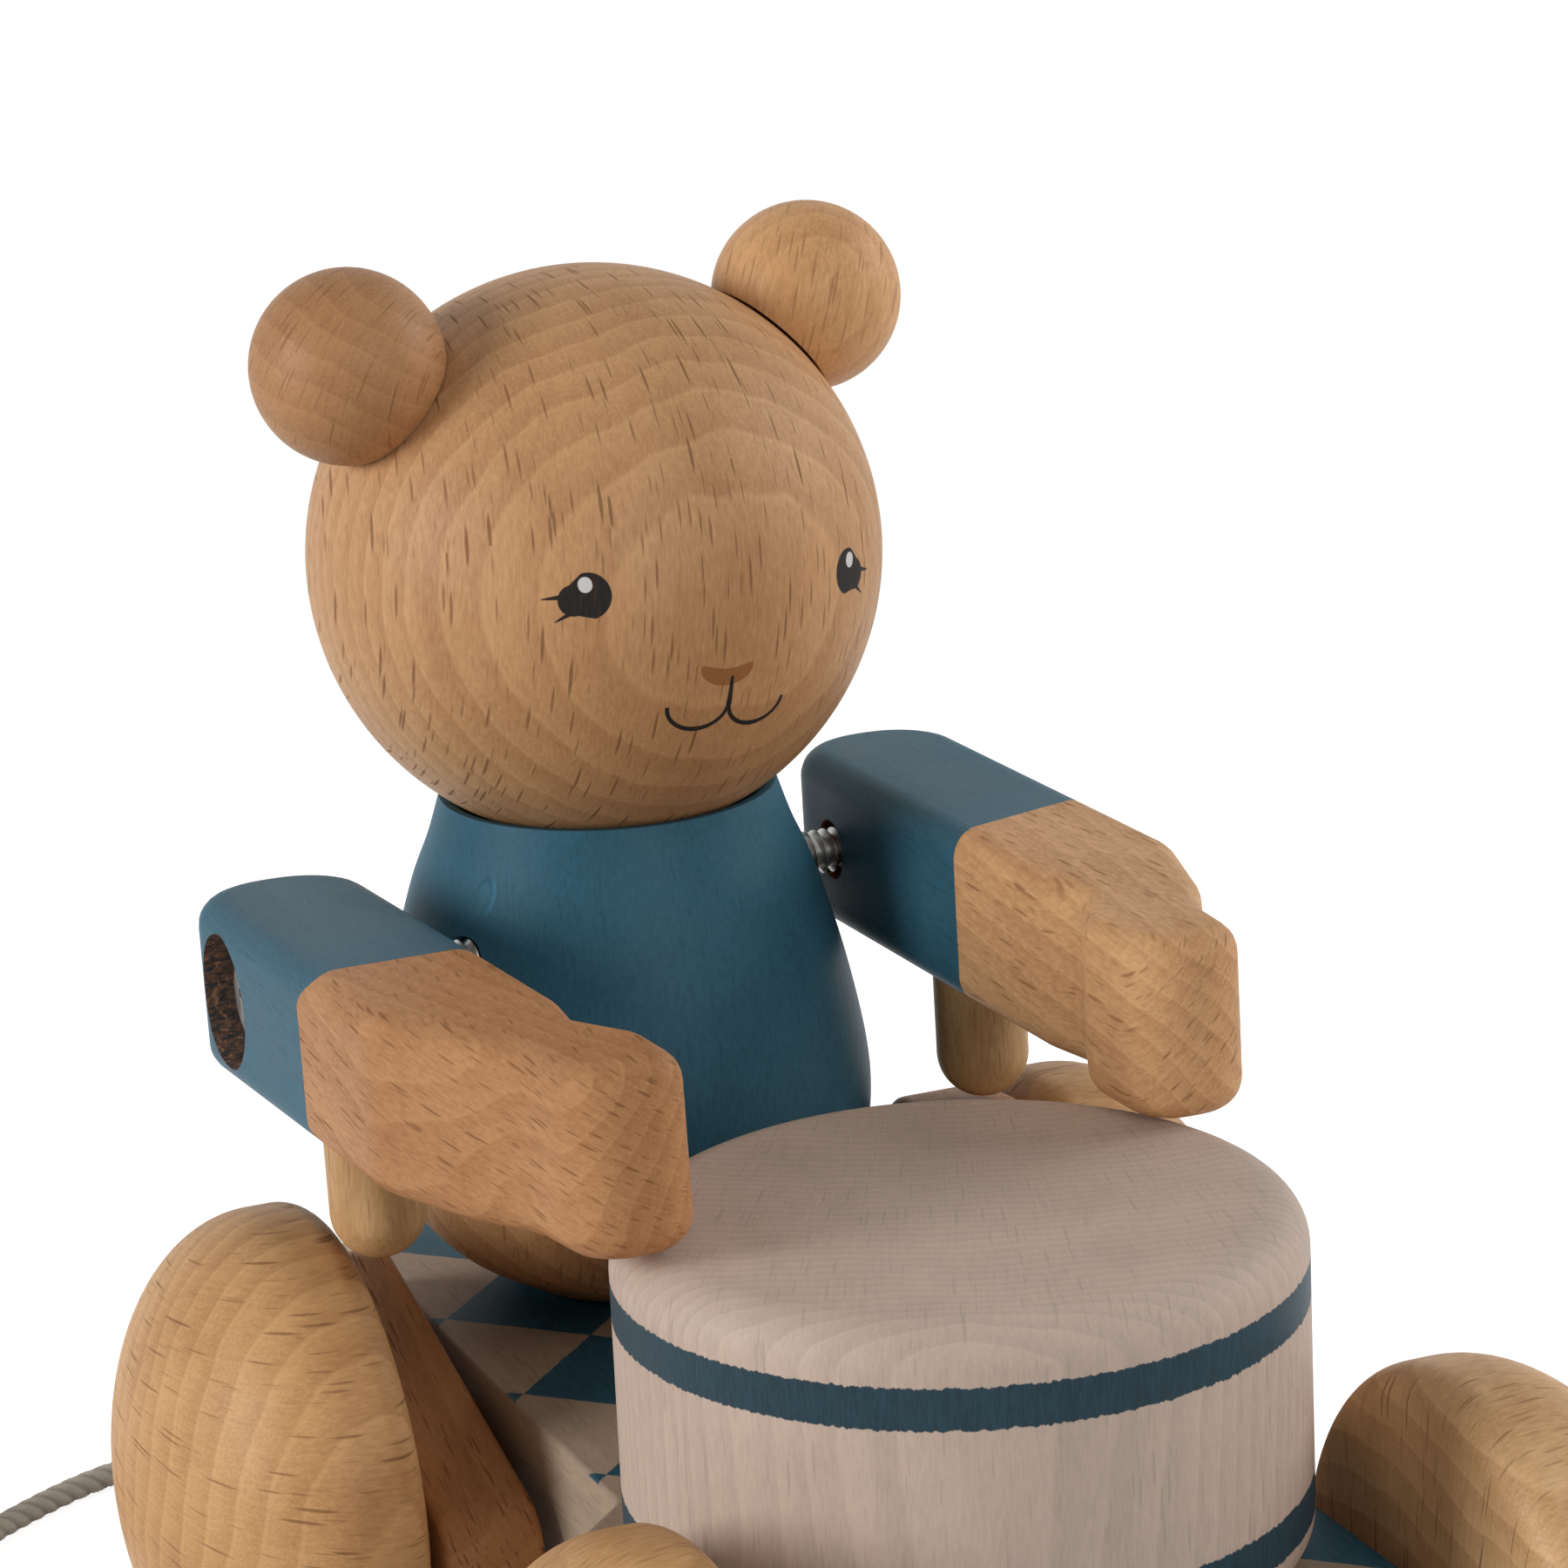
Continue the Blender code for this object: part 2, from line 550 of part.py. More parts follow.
def make_arm(side, sign, shoulder):
    """An arm with its lifting peg, its paw at rest on the drum, and the screw and washer it swings on."""
    shoulder_y, shoulder_z = shoulder
    rise = DRUM_TOP + GAP + ARM_THICK / 2 - shoulder_z
    touch = PAW_REACH if rise > 0 else PAW_FRONT
    rest = math.degrees(math.asin(rise / touch))
    arm = add_part(f"arm_{side}", plate_mesh(f"arm_{side}", arm_outline(sign), ARM_THICK), BLUE_PAINT,
                   place=(sign * ARM_MID_X + ARM_SHIFT, shoulder_y, shoulder_z), turn=(-rest, 0, 0))
    soften(arm, ARM_EDGE_R, 3)
    outer = sign * (ARM_OUTER_X - ARM_MID_X)
    drill(arm, f"arm_{side}_bore", SHOULDER_R + SHOULDER_PLAY, (-outer - sign * OVERCUT, 0, 0),
          (outer + sign * OVERCUT, 0, 0))
    drill(arm, f"arm_{side}_counterbore", COUNTERBORE_R, (outer - sign * COUNTERBORE_DEPTH, 0, 0),
          (outer + sign * OVERCUT, 0, 0), RIM_STEPS)
    under = -ARM_THICK / 2
    drill(arm, f"peg_{side}_socket", PEG_R + GAP, (0, -PEG_AHEAD, under - OVERCUT),
          (0, -PEG_AHEAD, under + PEG_SOCKET))
    tip = arc((0, -peg_tip(shoulder_y, shoulder_z, rest)), PEG_R, 0, -90, 5)
    top = under + PEG_SOCKET - GAP
    turned(f"peg_{side}", [(0, top), (PEG_R, top)] + [(abs(radius), height) for radius, height in tip],
           BEECH, SMALL_STEPS, place=(0, -PEG_AHEAD, 0), parent=arm)
    floor = ARM_OUTER_X - COUNTERBORE_DEPTH + GAP
    washer_top = floor + WASHER_THICK
    head = washer_top + GAP + SHOULDER_HEAD
    bore = SHOULDER_R + GAP
    washer = [(bore, washer_top), (WASHER_R, washer_top), (WASHER_R, floor), (bore, floor),
              (bore, washer_top)]
    along = (0, sign * 90, 0)
    place = (ARM_SHIFT, shoulder_y, shoulder_z)
    turned(f"shoulder_washer_{side}", washer, STEEL, RIM_STEPS, place=place, turn=along)
    under_head = washer_top + GAP
    screw = [(0, head), (SHOULDER_HEAD_R - SHOULDER_HEAD_EDGE, head),
             (SHOULDER_HEAD_R, head - SHOULDER_HEAD_EDGE), (SHOULDER_HEAD_R, under_head),
             (SHOULDER_R, under_head), (SHOULDER_R, SHOULDER_TIP_X + SHOULDER_POINT),
             (SHOULDER_POINT_R, SHOULDER_TIP_X), (0, SHOULDER_TIP_X)]
    turned(f"shoulder_screw_{side}", screw, STEEL, SMALL_STEPS, place=place, turn=along)


def coil_points(start, heading):
    """The coil: a straight lead, two layers of loops that spiral in and out again, and a tail that rises."""
    across = Vector((heading.y, -heading.x, 0))
    lead_end = start + heading * 2 * CORD_R
    centre = lead_end + across * COIL_OUTER_R
    layer = COIL_PITCH
    total = 2 * COIL_TURNS + 0.5
    inner_r = COIL_OUTER_R - COIL_PITCH * COIL_TURNS
    points = [start]
    for k in range(round(total * COIL_LOOP_POINTS) + 1):
        turn = k / COIL_LOOP_POINTS
        inward = turn - COIL_TURNS
        if inward <= 0:
            radius = inner_r - COIL_PITCH * inward
            rise = 0.0
        elif inward < 0.5:
            radius = inner_r - COIL_PITCH * (inward - 2 * inward ** 2)
            rise = layer * 2 * inward
        else:
            radius = inner_r + COIL_PITCH * (inward - 0.5)
            rise = layer
        angle = 2 * math.pi * turn
        spoke = -across * math.cos(angle) + heading * math.sin(angle)
        points.append(centre + spoke * radius + Vector((0, 0, rise)))
    last = points[-1]
    away = (last - points[-2]).normalized()
    for k in range(1, TAIL_POINTS + 1):
        share = k / TAIL_POINTS
        ease = share * share * (3 - 2 * share)
        place = last + away * TAIL_LENGTH * share
        points.append(Vector((place.x, place.y, last.z + (BEAD_R - last.z) * ease)))
    away.z = 0
    through = 2 * BEAD_R + 4 * CORD_R
    points.append(points[-1] + away.normalized() * through)
    return points, centre, away.normalized()


def least_gap(points, radius):
    """The least gap between the tube's stretches that lie more than half a loop apart, in millimetres."""
    places = np.array([tuple(point) for point in points])
    apart = np.linalg.norm(places[:, None] - places[None], axis=2)
    order = np.abs(np.subtract.outer(np.arange(len(places)), np.arange(len(places))))
    return apart[order > COIL_LOOP_POINTS // 2].min() - 2 * radius


def make_cord():
    """The pull cord from its hole in the board's rear end, a tied coil, a bead and an end knot."""
    mouth = Vector((0, BOARD_REAR_Y, AXLE_Z))
    inside = mouth - Vector((0, CORD_HOLE_DEPTH - GAP, 0))
    floor_z = CORD_R + GAP
    route = [inside, mouth]
    fall = AXLE_Z - floor_z
    route += [Vector((x, BOARD_REAR_Y + y, floor_z + fall * share)) for x, y, share in CORD_DROP]
    route += [Vector((x, BOARD_REAR_Y + y, floor_z)) for x, y in CORD_LIE]
    route.append(Vector((COIL_START[0], BOARD_REAR_Y + COIL_START[1], floor_z + 2 * TIE_R + GAP)))
    route = smooth_path(route, CORD_STEP)
    add_part("pull_cord", tube_mesh("pull_cord", route, CORD_R, 2), CORD)
    heading = route[-1] - route[-2]
    heading.z = 0
    heading.normalize()
    start = route[-1] + heading * GAP
    points, centre, away = coil_points(start, heading)
    print("least gap of the coil to itself, mm:", round(float(least_gap(points, CORD_R)), 2))
    add_part("cord_coil", tube_mesh("cord_coil", points, CORD_R, 1), CORD)
    make_tie(centre, start.z, heading)
    bead_place = points[-2] + away * (BEAD_R + CORD_R)
    ball = ball_mesh("pull_bead", BEAD_R, BALL_STEPS, BALL_STEPS // 2)
    bead = add_part("pull_bead", ball, BEECH, place=bead_place)
    drill(bead, "bead_bore", CORD_R + SCREW_GAP, -away * 2 * BEAD_R, away * 2 * BEAD_R, FINE_STEPS)
    knot = ball_mesh("bead_knot", KNOT_R, FINE_STEPS, FINE_STEPS // 2)
    add_part("bead_knot", knot, CORD, place=points[-1] + away * (KNOT_R + GAP))


def make_tie(centre, low_z, heading):
    """A closed twist of wire round the coil's two layers."""
    inner = COIL_OUTER_R - COIL_PITCH * (COIL_TURNS + 0.125) - CORD_R
    outer = COIL_OUTER_R + CORD_R
    half_wide = (outer - inner) / 2 + GAP + TIE_R
    half_high = COIL_PITCH / 2 + CORD_R + GAP + TIE_R
    angle = 2 * math.pi * TIE_TURN
    across = Vector((heading.y, -heading.x, 0))
    spoke = -across * math.cos(angle) + heading * math.sin(angle)
    middle = centre + spoke * (outer + inner) / 2
    middle.z = low_z + COIL_PITCH / 2
    corners = [(x, y, CORD_R) for x, y in ((half_wide, half_high), (half_wide, -half_high),
                                           (-half_wide, -half_high), (-half_wide, half_high))]
    loop = [middle + spoke * point.x + Vector((0, 0, point.y)) for point in rounded(corners, 3)]
    add_part("coil_tie", tube_mesh("coil_tie", loop, TIE_R, 1, closed=True), STEEL)


for old in list(bpy.data.objects):
    bpy.data.objects.remove(old, do_unlink=True)

PARTS = new_collection(COLLECTION)
CUTTERS = new_collection("cutters")
BEECH = material("beech", (0.66, 0.42, 0.24), 0.5)
BLUE_PAINT = material("blue_paint", (0.03, 0.16, 0.28), 0.4)
BEIGE_PAINT = material("beige_paint", (0.7, 0.6, 0.48), 0.5)
GREIGE_PAINT = material("greige_lacquer", (0.5, 0.44, 0.36), 0.5)
STEEL = material("steel", (0.55, 0.55, 0.57), 0.3, 1.0)
CORD = material("cord", (0.75, 0.7, 0.6), 0.9)

make_board()
make_axle("front", FRONT_AXLE_Y, FRONT_WHEEL_X)
make_cams(make_axle("rear", REAR_AXLE_Y, REAR_WHEEL_X))
make_body()
make_head()
make_drum()
make_wood_screw("body", BEAR_Y)
make_wood_screw("drum", DRUM_Y)
for (side, sign), shoulder in zip(SIDES, SHOULDERS):
    make_arm(side, sign, shoulder)
make_cord()
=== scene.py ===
"""Drumming bear pull toy in turned and painted beech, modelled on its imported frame.

Shapes are made in metres and finishes in millimetres, +Z up. The bear faces -Y and its left is +X.
"""
import json
from math import acos, asin, atan2, copysign, cos, degrees, pi, radians, sin, sqrt, tan

import bmesh
import bpy
from bpy.props import FloatProperty, FloatVectorProperty, PointerProperty
from mathutils import Matrix, Vector


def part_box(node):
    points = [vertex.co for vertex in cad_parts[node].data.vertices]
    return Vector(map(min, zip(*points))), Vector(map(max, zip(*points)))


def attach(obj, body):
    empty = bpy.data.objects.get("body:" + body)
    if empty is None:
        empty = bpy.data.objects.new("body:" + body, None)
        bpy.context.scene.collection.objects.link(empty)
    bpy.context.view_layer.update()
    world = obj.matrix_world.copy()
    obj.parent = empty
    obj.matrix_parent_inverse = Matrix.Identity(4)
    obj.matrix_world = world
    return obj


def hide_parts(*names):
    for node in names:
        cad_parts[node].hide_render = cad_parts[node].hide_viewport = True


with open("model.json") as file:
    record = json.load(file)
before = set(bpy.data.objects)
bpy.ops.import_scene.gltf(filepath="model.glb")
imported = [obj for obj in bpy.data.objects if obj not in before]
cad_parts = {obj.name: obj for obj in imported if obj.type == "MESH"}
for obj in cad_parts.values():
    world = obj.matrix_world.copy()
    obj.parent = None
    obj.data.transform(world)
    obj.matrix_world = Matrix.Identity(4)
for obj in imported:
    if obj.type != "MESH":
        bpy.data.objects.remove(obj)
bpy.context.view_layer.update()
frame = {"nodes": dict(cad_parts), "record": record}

bl_info = {
    "name": "Drumming bear pull toy",
    "version": (1, 0, 0),
    "blender": (4, 5, 0),
    "location": "3D View > Sidebar > Drum Bear",
    "description": "Models a wooden bear on wheels that beats its drum as it is pulled",
    "category": "Object",
}

MM = 0.001
GAP = 0.3 * MM
# How far a drill runs past the face that it enters or leaves
PAST = 3 * MM

RECORD = frame["record"]
BODIES = {node: body for body, nodes in RECORD["behaviour"]["bodies"].items() for node in nodes}
JOINTS = {joint["name"]: Vector(joint["pos_m"]) for joint in RECORD["behaviour"]["joints"]}
AXLES = {"front": JOINTS["front_axle_roll"], "rear": JOINTS["rear_axle_roll"]}
SHOULDERS = {"right": JOINTS["right_arm_lift"], "left": JOINTS["left_arm_lift"]}
SIDES = {"right": -1, "left": 1}

# The photograph's camera: turn, tilt down and roll in degrees
PHOTO_ANGLES = (-22.06, 15.91, -2.71)
PHOTO_PLACE = (-0.19225, -0.46869, 0.24885)
PHOTO_LENS = 126.296
# Place and size of each lamp, and the point that all of them are turned to
LAMPS = {
    "key": ((-1.0, 0.02, 0.36), 0.5),
    "front": ((0.06, -1.0, 0.45), 0.5),
    "fill": ((0.78, -0.06, 0.46), 0.6),
}
LAMP_AIM = Vector((0, 0, 0.07))

# Fixed shapes in millimetres: the board's left half as (x, y), the body's side as (radius, share of height)
BOARD_OUTLINE = ((25.2, 81.7), (25.2, -4.3), (33.8, -12.8), (33.8, -73.0))
BOARD_CORNER = 2.5
BODY_CURVE = (
    (17.8, 1.0), (19.3, 0.914), (21.6, 0.806), (24.7, 0.593),
    (26.4, 0.382), (25.0, 0.22), (20.0, 0.09), (12.5, 0.0))
CAM_ANGLES = {"right": 16.7, "left": 84.0}
CAM_CORNER = 6.0
ARM_HALF = 9.15
PAW_INNER = -11.55
PAW_OUTER = 1.45
PAW_REACH = 70.0
# The arm from above about its shoulder, with its sleeve, wrist and paw, as (x, y, corner radius)
ARM_OUTLINE = (
    (-ARM_HALF, 14.2, 8.5), (-ARM_HALF, -52, 5), (1.2 - ARM_HALF, -60, 4), (PAW_INNER, -68, 5),
    (PAW_INNER, -80.5, 5.5), (PAW_OUTER - 1, -80.5, 5.5), (PAW_OUTER, -68, 10),
    ((ARM_HALF + PAW_OUTER) / 2, -60, 10), (ARM_HALF, -47, 12), (ARM_HALF, 14.2, 8.5))
# Where the dipped paint of the sleeves ends: along the arm, its lean across, and its rise down the side
DIP_LINES = {"right": (-29.7, 0.0, 3.7), "left": (-29.8, 0.32, 0.0)}
PEG_AHEAD = 17.0
EAR_ANGLE = 41.2
HEAD_TURN = 7.5
FACE_ROLL = 4.3

# Drilled holes and steel pieces
BOARD_HOLE_R = 2.6 * MM
SINK_R = 4.8 * MM
CORD_HOLE_R = 1.8 * MM
PILOT_HOLE = [(2.5 * MM, 0), (2.5 * MM, 21 * MM), (0, 21 * MM)]
SHOULDER_PILOT_R = 2.7 * MM
ARM_BORE_R = 3.2 * MM
EAR_BORE_R = 2.8 * MM
THREAD_R = 2.4 * MM
THREAD_ROOT = 1.75 * MM
THREAD_PITCH = 1.1 * MM
PAN_HEAD_R = 5.2 * MM
PAN_HEAD_EDGE = 1.3 * MM
PAN_HEAD_TALL = 1.7 * MM
PAN_HEAD_SUNK = 2.4 * MM
WASHER_R = 6.4 * MM
WASHER_BORE = 2.7 * MM
WOOD_SCREW_R = 2.2 * MM
WOOD_SCREW_HEAD_R = 4.4 * MM

# Grain of single pieces: pith line and grain, then the stain and painted light as a share per colour channel,
# and for the ears the flecks' depth
WHEEL_STAIN = (1.06, 1.08, 1.0)
WHEEL_LOOKS = {
    # Painted light: the front-left wheel's shares make its beech brighter and cooler, as where the light from
    # the right falls
    "wheel_front_left": ((0, 14, -75), (1, 0.1, 0.05), (1.22, 1.36, 1.45)),
    "wheel_front_right": ((0, -12, -75), (1, 0.12, 0.1), WHEEL_STAIN),
    "wheel_rear_left": ((0, 50, -50), (1, -0.1, 0.1), WHEEL_STAIN),
    "wheel_rear_right": ((0, 75, 12), (1, 0.16, -0.06), WHEEL_STAIN),
}
EAR_LOOKS = {
    "right": ((30, 10, 30), (-0.5, -0.8, 0.3), (0.78, 0.72, 0.68), 2.5),
    # Painted light: the left ear's shares make its beech brighter, as where the light from the right falls
    "left": ((14, 40, -8), (0.3, 0.1, 0.95), (1.25, 1.26, 1.24), 2.0),
}
PAW_LOOKS = {
    "right": ((75, 0, -35), (-0.05, 1, 0.06), (0.86, 0.78, 0.75)),
    # Painted light: the left paw's shares make its beech brighter and cooler, as where the light from the
    # right falls
    "left": ((-60, 0, -55), (0.05, 1, 0.06), (1.16, 1.2, 1.26)),
}

# Painted lines and the dent in the body's paint, in millimetres; a diamond is given by its half width
PAINT_LINE = 51.4
STRIPES = ((42.0, 46.0), (62.8, 66.8))
DENT_HEIGHT = 83.9
DENT_ANGLE = -61.0
DENT_HALF = (1.3, 1.9)
DIAMOND = 11.8
DIAMOND_START = 25.8

# Specular levels of oiled wood and of satin paint
WOOD_SHEEN = 0.25
PAINT_SHEEN = 0.1

# The cord's way in millimetres from its hole's mouth: in the air with a share of its height, then lying
CORD_DROP = ((0.0, 7.0, 1.0), (-1.0, 14.0, 0.7), (-4.0, 20.5, 0.286), (-13.0, 27.0, 0.04))
CORD_LIE = ((-28.0, 30.0), (-46.0, 27.0), (-60.0, 19.5))
CORD_CLEAR = 0.3
COIL_START = (-73.0, 6.0)
COIL_TURNS = 2.25
COIL_OUTER = 18.0
COIL_SPACE = 0.7
COIL_LOOP_POINTS = 48
TAIL_LENGTH = 26.0
TAIL_POINTS = 8
HOLE_DEPTH = 9.7
BEAD = 8.0
BEAD_POINTS = 40
TIE = 0.6
TIE_TURN = 0.62
KNOT_POINTS = 97
KNOT_STRAND = 1.15
# Sides and strands of the cord, and their twist in degrees from one step to the next
CORD_STEP = 0.62
CORD_SIDES = 18
KNOT_SIDES = 12
STRANDS = 3
CORD_TWIST = 31
KNOT_TWIST = 26


def length(name, value, words):
    """A length property, given in millimetres."""
    return FloatProperty(
        name=name, description=words, default=value * MM, min=0.0, precision=4, unit="LENGTH")


def tint(name, value, words):
    """A colour property."""
    return FloatVectorProperty(
        name=name, description=words, default=value, min=0.0, max=1.0, size=3, subtype="COLOR")


def power(name, value, words):
    """A lamp's power property."""
    return FloatProperty(name=name, description=words, default=value, min=0.0, unit="POWER")


class BearSizes(bpy.types.PropertyGroup):
    """Sizes of the turned and sawn pieces."""
    wheel_r: length("Wheel radius", 28.0, "Radius of all four wheels")
    wheel_edge: length("Wheel edge", 3.7, "Rounding of a wheel's inner edge")
    wheel_tread: length("Wheel tread", 2.5, "Straight part of a wheel's rim")
    wheel_dome: length("Wheel dome", 17.5, "Height of a wheel's domed outer face")
    axle_r: length("Axle radius", 4.0, "Radius of both axles")
    axle_grip: length("Axle grip", 14.7, "How deep an axle sits in its wheels")
    head_r: length("Head radius", 30.0, "Radius of the ball head")
    ear_r: length("Ear radius", 10.0, "Radius of the ball ears")
    ear_stand: length("Ear stand", 5.6, "How far an ear's centre stands off the head")
    dish_r: length("Neck dish radius", 17.0, "Radius of the dish that the head sits in")
    neck_r: length("Neck dowel radius", 5.0, "Radius of the dowel in the neck")
    neck_half: length("Neck dowel half length", 13.0, "How far the neck dowel goes into head and body")
    drum_edge: length("Drum edge", 4.5, "Rounding of the drum's rims")
    board_thick: length("Board thickness", 18.0, "Thickness of the board")
    board_edge: length("Board edge", 0.8, "Rounding of the board's edges")
    arm_thick: length("Arm thickness", 18.4, "Thickness of the arms")
    arm_edge: length("Arm edge", 3.0, "Rounding of the arms' edges")
    cam_length: length("Cam length", 53.6, "Length of the cams on the rear axle")
    cam_width: length("Cam width", 19.0, "Width of the cams")
    cam_thick: length("Cam thickness", 10.4, "Thickness of the cams")
    peg_r: length("Peg radius", 4.9, "Radius of the lifting pegs")
    counterbore_r: length("Counterbore radius", 7.0, "Radius of the recess round a shoulder screw")
    counterbore: length("Counterbore depth", 6.0, "Depth of the recess round a shoulder screw")
    cord_r: length("Cord radius", 1.4, "Radius of the pull cord")


class BearColours(bpy.types.PropertyGroup):
    """Colours of the woods, paints, metal and cord."""
    beech: tint("Beech", (0.63, 0.352, 0.165), "Early wood of the natural beech")
    late_wood: tint("Late wood", (0.42, 0.205, 0.085), "Late wood of the natural beech")
    ray: tint("Rays", (0.2, 0.085, 0.034), "Dark ray flecks in the beech")
    raw_wood: tint("Raw wood", (0.17, 0.078, 0.034), "Rough wood inside the drilled recesses")
    blue: tint("Blue paint", (0.03, 0.106, 0.156), "Satin paint of the body, sleeves and stripes")
    drum: tint("Drum lacquer", (0.58, 0.455, 0.375), "Thin lacquer of the drum")
    board: tint("Board paint", (0.40, 0.305, 0.225), "Pale paint of the board")
    ink: tint("Face ink", (0.006, 0.006, 0.007), "Eyes and mouth")
    shine: tint("Eye light", (0.72, 0.70, 0.68), "Light spot in the eyes")
    nose: tint("Nose", (0.30, 0.115, 0.034), "Printed nose")
    steel: tint("Steel", (0.56, 0.55, 0.53), "Screws, washers and the coil's tie")
    cord: tint("Cord", (0.7, 0.63, 0.53), "Crests of the twisted cord")
    # Painted shade: the darker colour for the grooves between the cord's strands
    cord_groove_shade: tint("Cord groove", (0.4, 0.34, 0.27), "Grooves between the cord's strands")


class StageSettings(bpy.types.PropertyGroup):
    """Light and floor."""
    key: power("Key light", 6.9, "Power of the large lamp at the left")
    front: power("Front light", 3.4, "Power of the lamp in front")
    fill: power("Fill light", 3.2, "Power of the lamp at the right")
    sky: FloatProperty(name="Sky", description="Even light from all round", default=0.17, min=0.0)
    floor: tint("Floor", (0.65, 0.65, 0.65), "Colour of the floor")


class Wire:
    """A shader socket that takes part in sums: an expression on it adds its Math nodes."""

    def __init__(self, look, socket):
        self.look = look
        self.socket = socket

    def also(self, name):
        """Another output of the same node."""
        return Wire(self.look, self.socket.node.outputs[name])

    def __add__(self, other):
        return self.look.sum("ADD", self, other)

    __radd__ = __add__

    def __sub__(self, other):
        return self.look.sum("SUBTRACT", self, other)

    def __rsub__(self, other):
        return self.look.sum("SUBTRACT", other, self)

    def __mul__(self, other):
        return self.look.sum("MULTIPLY", self, other)

    def __truediv__(self, other):
        return self.look.sum("DIVIDE", self, other)

    def __abs__(self):
        return self.look.sum("ABSOLUTE", self)


class Finish:
    """A material, or the surround, that is put together node by node."""

    def __init__(self, name, surround=False):
        self.owner = (bpy.data.worlds if surround else bpy.data.materials).new(name)
        self.owner.use_nodes = True
        self.tree = self.owner.node_tree
        self.shader = self.tree.nodes["Background" if surround else "Principled BSDF"]

    def node(self, kind, settings=None, sockets=None, out=0):
        """A node with its settings made first, then its sockets; gives one of its outputs."""
        made = self.tree.nodes.new(kind)
        for key, value in (settings or {}).items():
            setattr(made, key, value)
        for key, value in (sockets or {}).items():
            self.feed(made.inputs[key], value)
        return Wire(self, made.outputs[out])

    def feed(self, socket, value):
        """Links or sets one socket."""
        if isinstance(value, Wire):
            self.tree.links.new(value.socket, socket)
        else:
            socket.default_value = value[:] if isinstance(value, Vector) else value

    def sum(self, operation, *values):
        return self.node("ShaderNodeMath", {"operation": operation}, dict(enumerate(values)))

    def vector(self, operation, first, second, out=0):
        return self.node("ShaderNodeVectorMath", {"operation": operation}, {0: first, 1: second}, out)

    def ease(self, value, low, high):
        """0 below low, 1 above high and a smooth step between; low may be the larger."""
        sockets = {"Value": value, "From Min": low, "From Max": high}
        return self.node("ShaderNodeMapRange", {"interpolation_type": "SMOOTHSTEP"}, sockets)

    def clamp(self, value):
        """A value kept between 0 and 1."""
        return self.node("ShaderNodeClamp", sockets={"Value": value})

    def mix(self, share, first, second):
        """A colour between two colours."""
        pair = [colour if isinstance(colour, Wire) else (*colour, 1.0) for colour in (first, second)]
        return self.node("ShaderNodeMix", {"data_type": "RGBA"}, {0: share, 6: pair[0], 7: pair[1]}, 2)

    def place(self, centre=(0, 0, 0), turn=(0, 0, 0)):
        """Object coordinates in millimetres about a centre, in a turned frame."""
        objects = self.node("ShaderNodeTexCoord", out="Object")
        sockets = {
            "Vector": objects, "Location": Vector(centre), "Rotation": Vector(turn), "Scale": (MM, MM, MM)}
        return self.node("ShaderNodeMapping", {"vector_type": "TEXTURE"}, sockets)

    def split(self, vector):
        """The three parts of a vector."""
        first = self.node("ShaderNodeSeparateXYZ", sockets={0: vector})
        return first, first.also("Y"), first.also("Z")

    def spot(self, centre=(0, 0, 0), turn=(0, 0, 0)):
        """The three parts of a place."""
        return self.split(self.place(centre, turn))

    def join(self, x, y, z):
        """A vector of three parts."""
        return self.node("ShaderNodeCombineXYZ", sockets={0: x, 1: y, 2: z})

    def noise(self, vector, scale=1.0, detail=2.0, roughness=0.5):
        sockets = {"Vector": vector, "Scale": scale, "Detail": detail, "Roughness": roughness}
        return self.node("ShaderNodeTexNoise", sockets=sockets)

    def fuzz(self, scale, detail=2.0, roughness=0.5):
        """Noise on the plain object coordinates."""
        return self.noise(self.place(), scale, detail, roughness)

    def reach(self, u, v):
        """The distance from the zero point of u and v."""
        return self.sum("SQRT", u * u + v * v)

    def seen(self):
        """1 for what the camera, a mirror or glass shows."""
        ray = self.node("ShaderNodeLightPath", out="Is Camera Ray")
        return self.clamp(ray + ray.also("Is Glossy Ray") + ray.also("Is Transmission Ray"))

    def stroke(self, u, v, start, end, start_r, end_r):
        """Distance to the edge of a round stroke that tapers from one end to the other."""
        along = Vector(end) - Vector(start)
        off_u = u - start[0]
        off_v = v - start[1]
        share = self.clamp((off_u * along.x + off_v * along.y) / along.length_squared)
        distance = self.reach(off_u - share * along.x, off_v - share * along.y)
        return distance - start_r - share * (end_r - start_r)

    def done(self, colour, roughness, height=None, strength=0.5, depth=0.0001, sheen=0.5, metallic=0.0):
        """Feeds the shader and gives the material; depth is the bump's, in metres."""
        values = {
            "Base Color": colour, "Roughness": roughness, "Specular IOR Level": sheen, "Metallic": metallic}
        if height is not None:
            bump = {"Height": height, "Distance": depth, "Strength": strength}
            values["Normal"] = self.node("ShaderNodeBump", sockets=bump)
        for key, value in values.items():
            self.feed(self.shader.inputs[key], value)
        return self.owner


def colours():
    return bpy.context.scene.bear_colours


def stained(colour, *shares):
    """A colour made darker or lighter by each share."""
    return [[min(1.0, part * share) for part in colour] for share in shares]


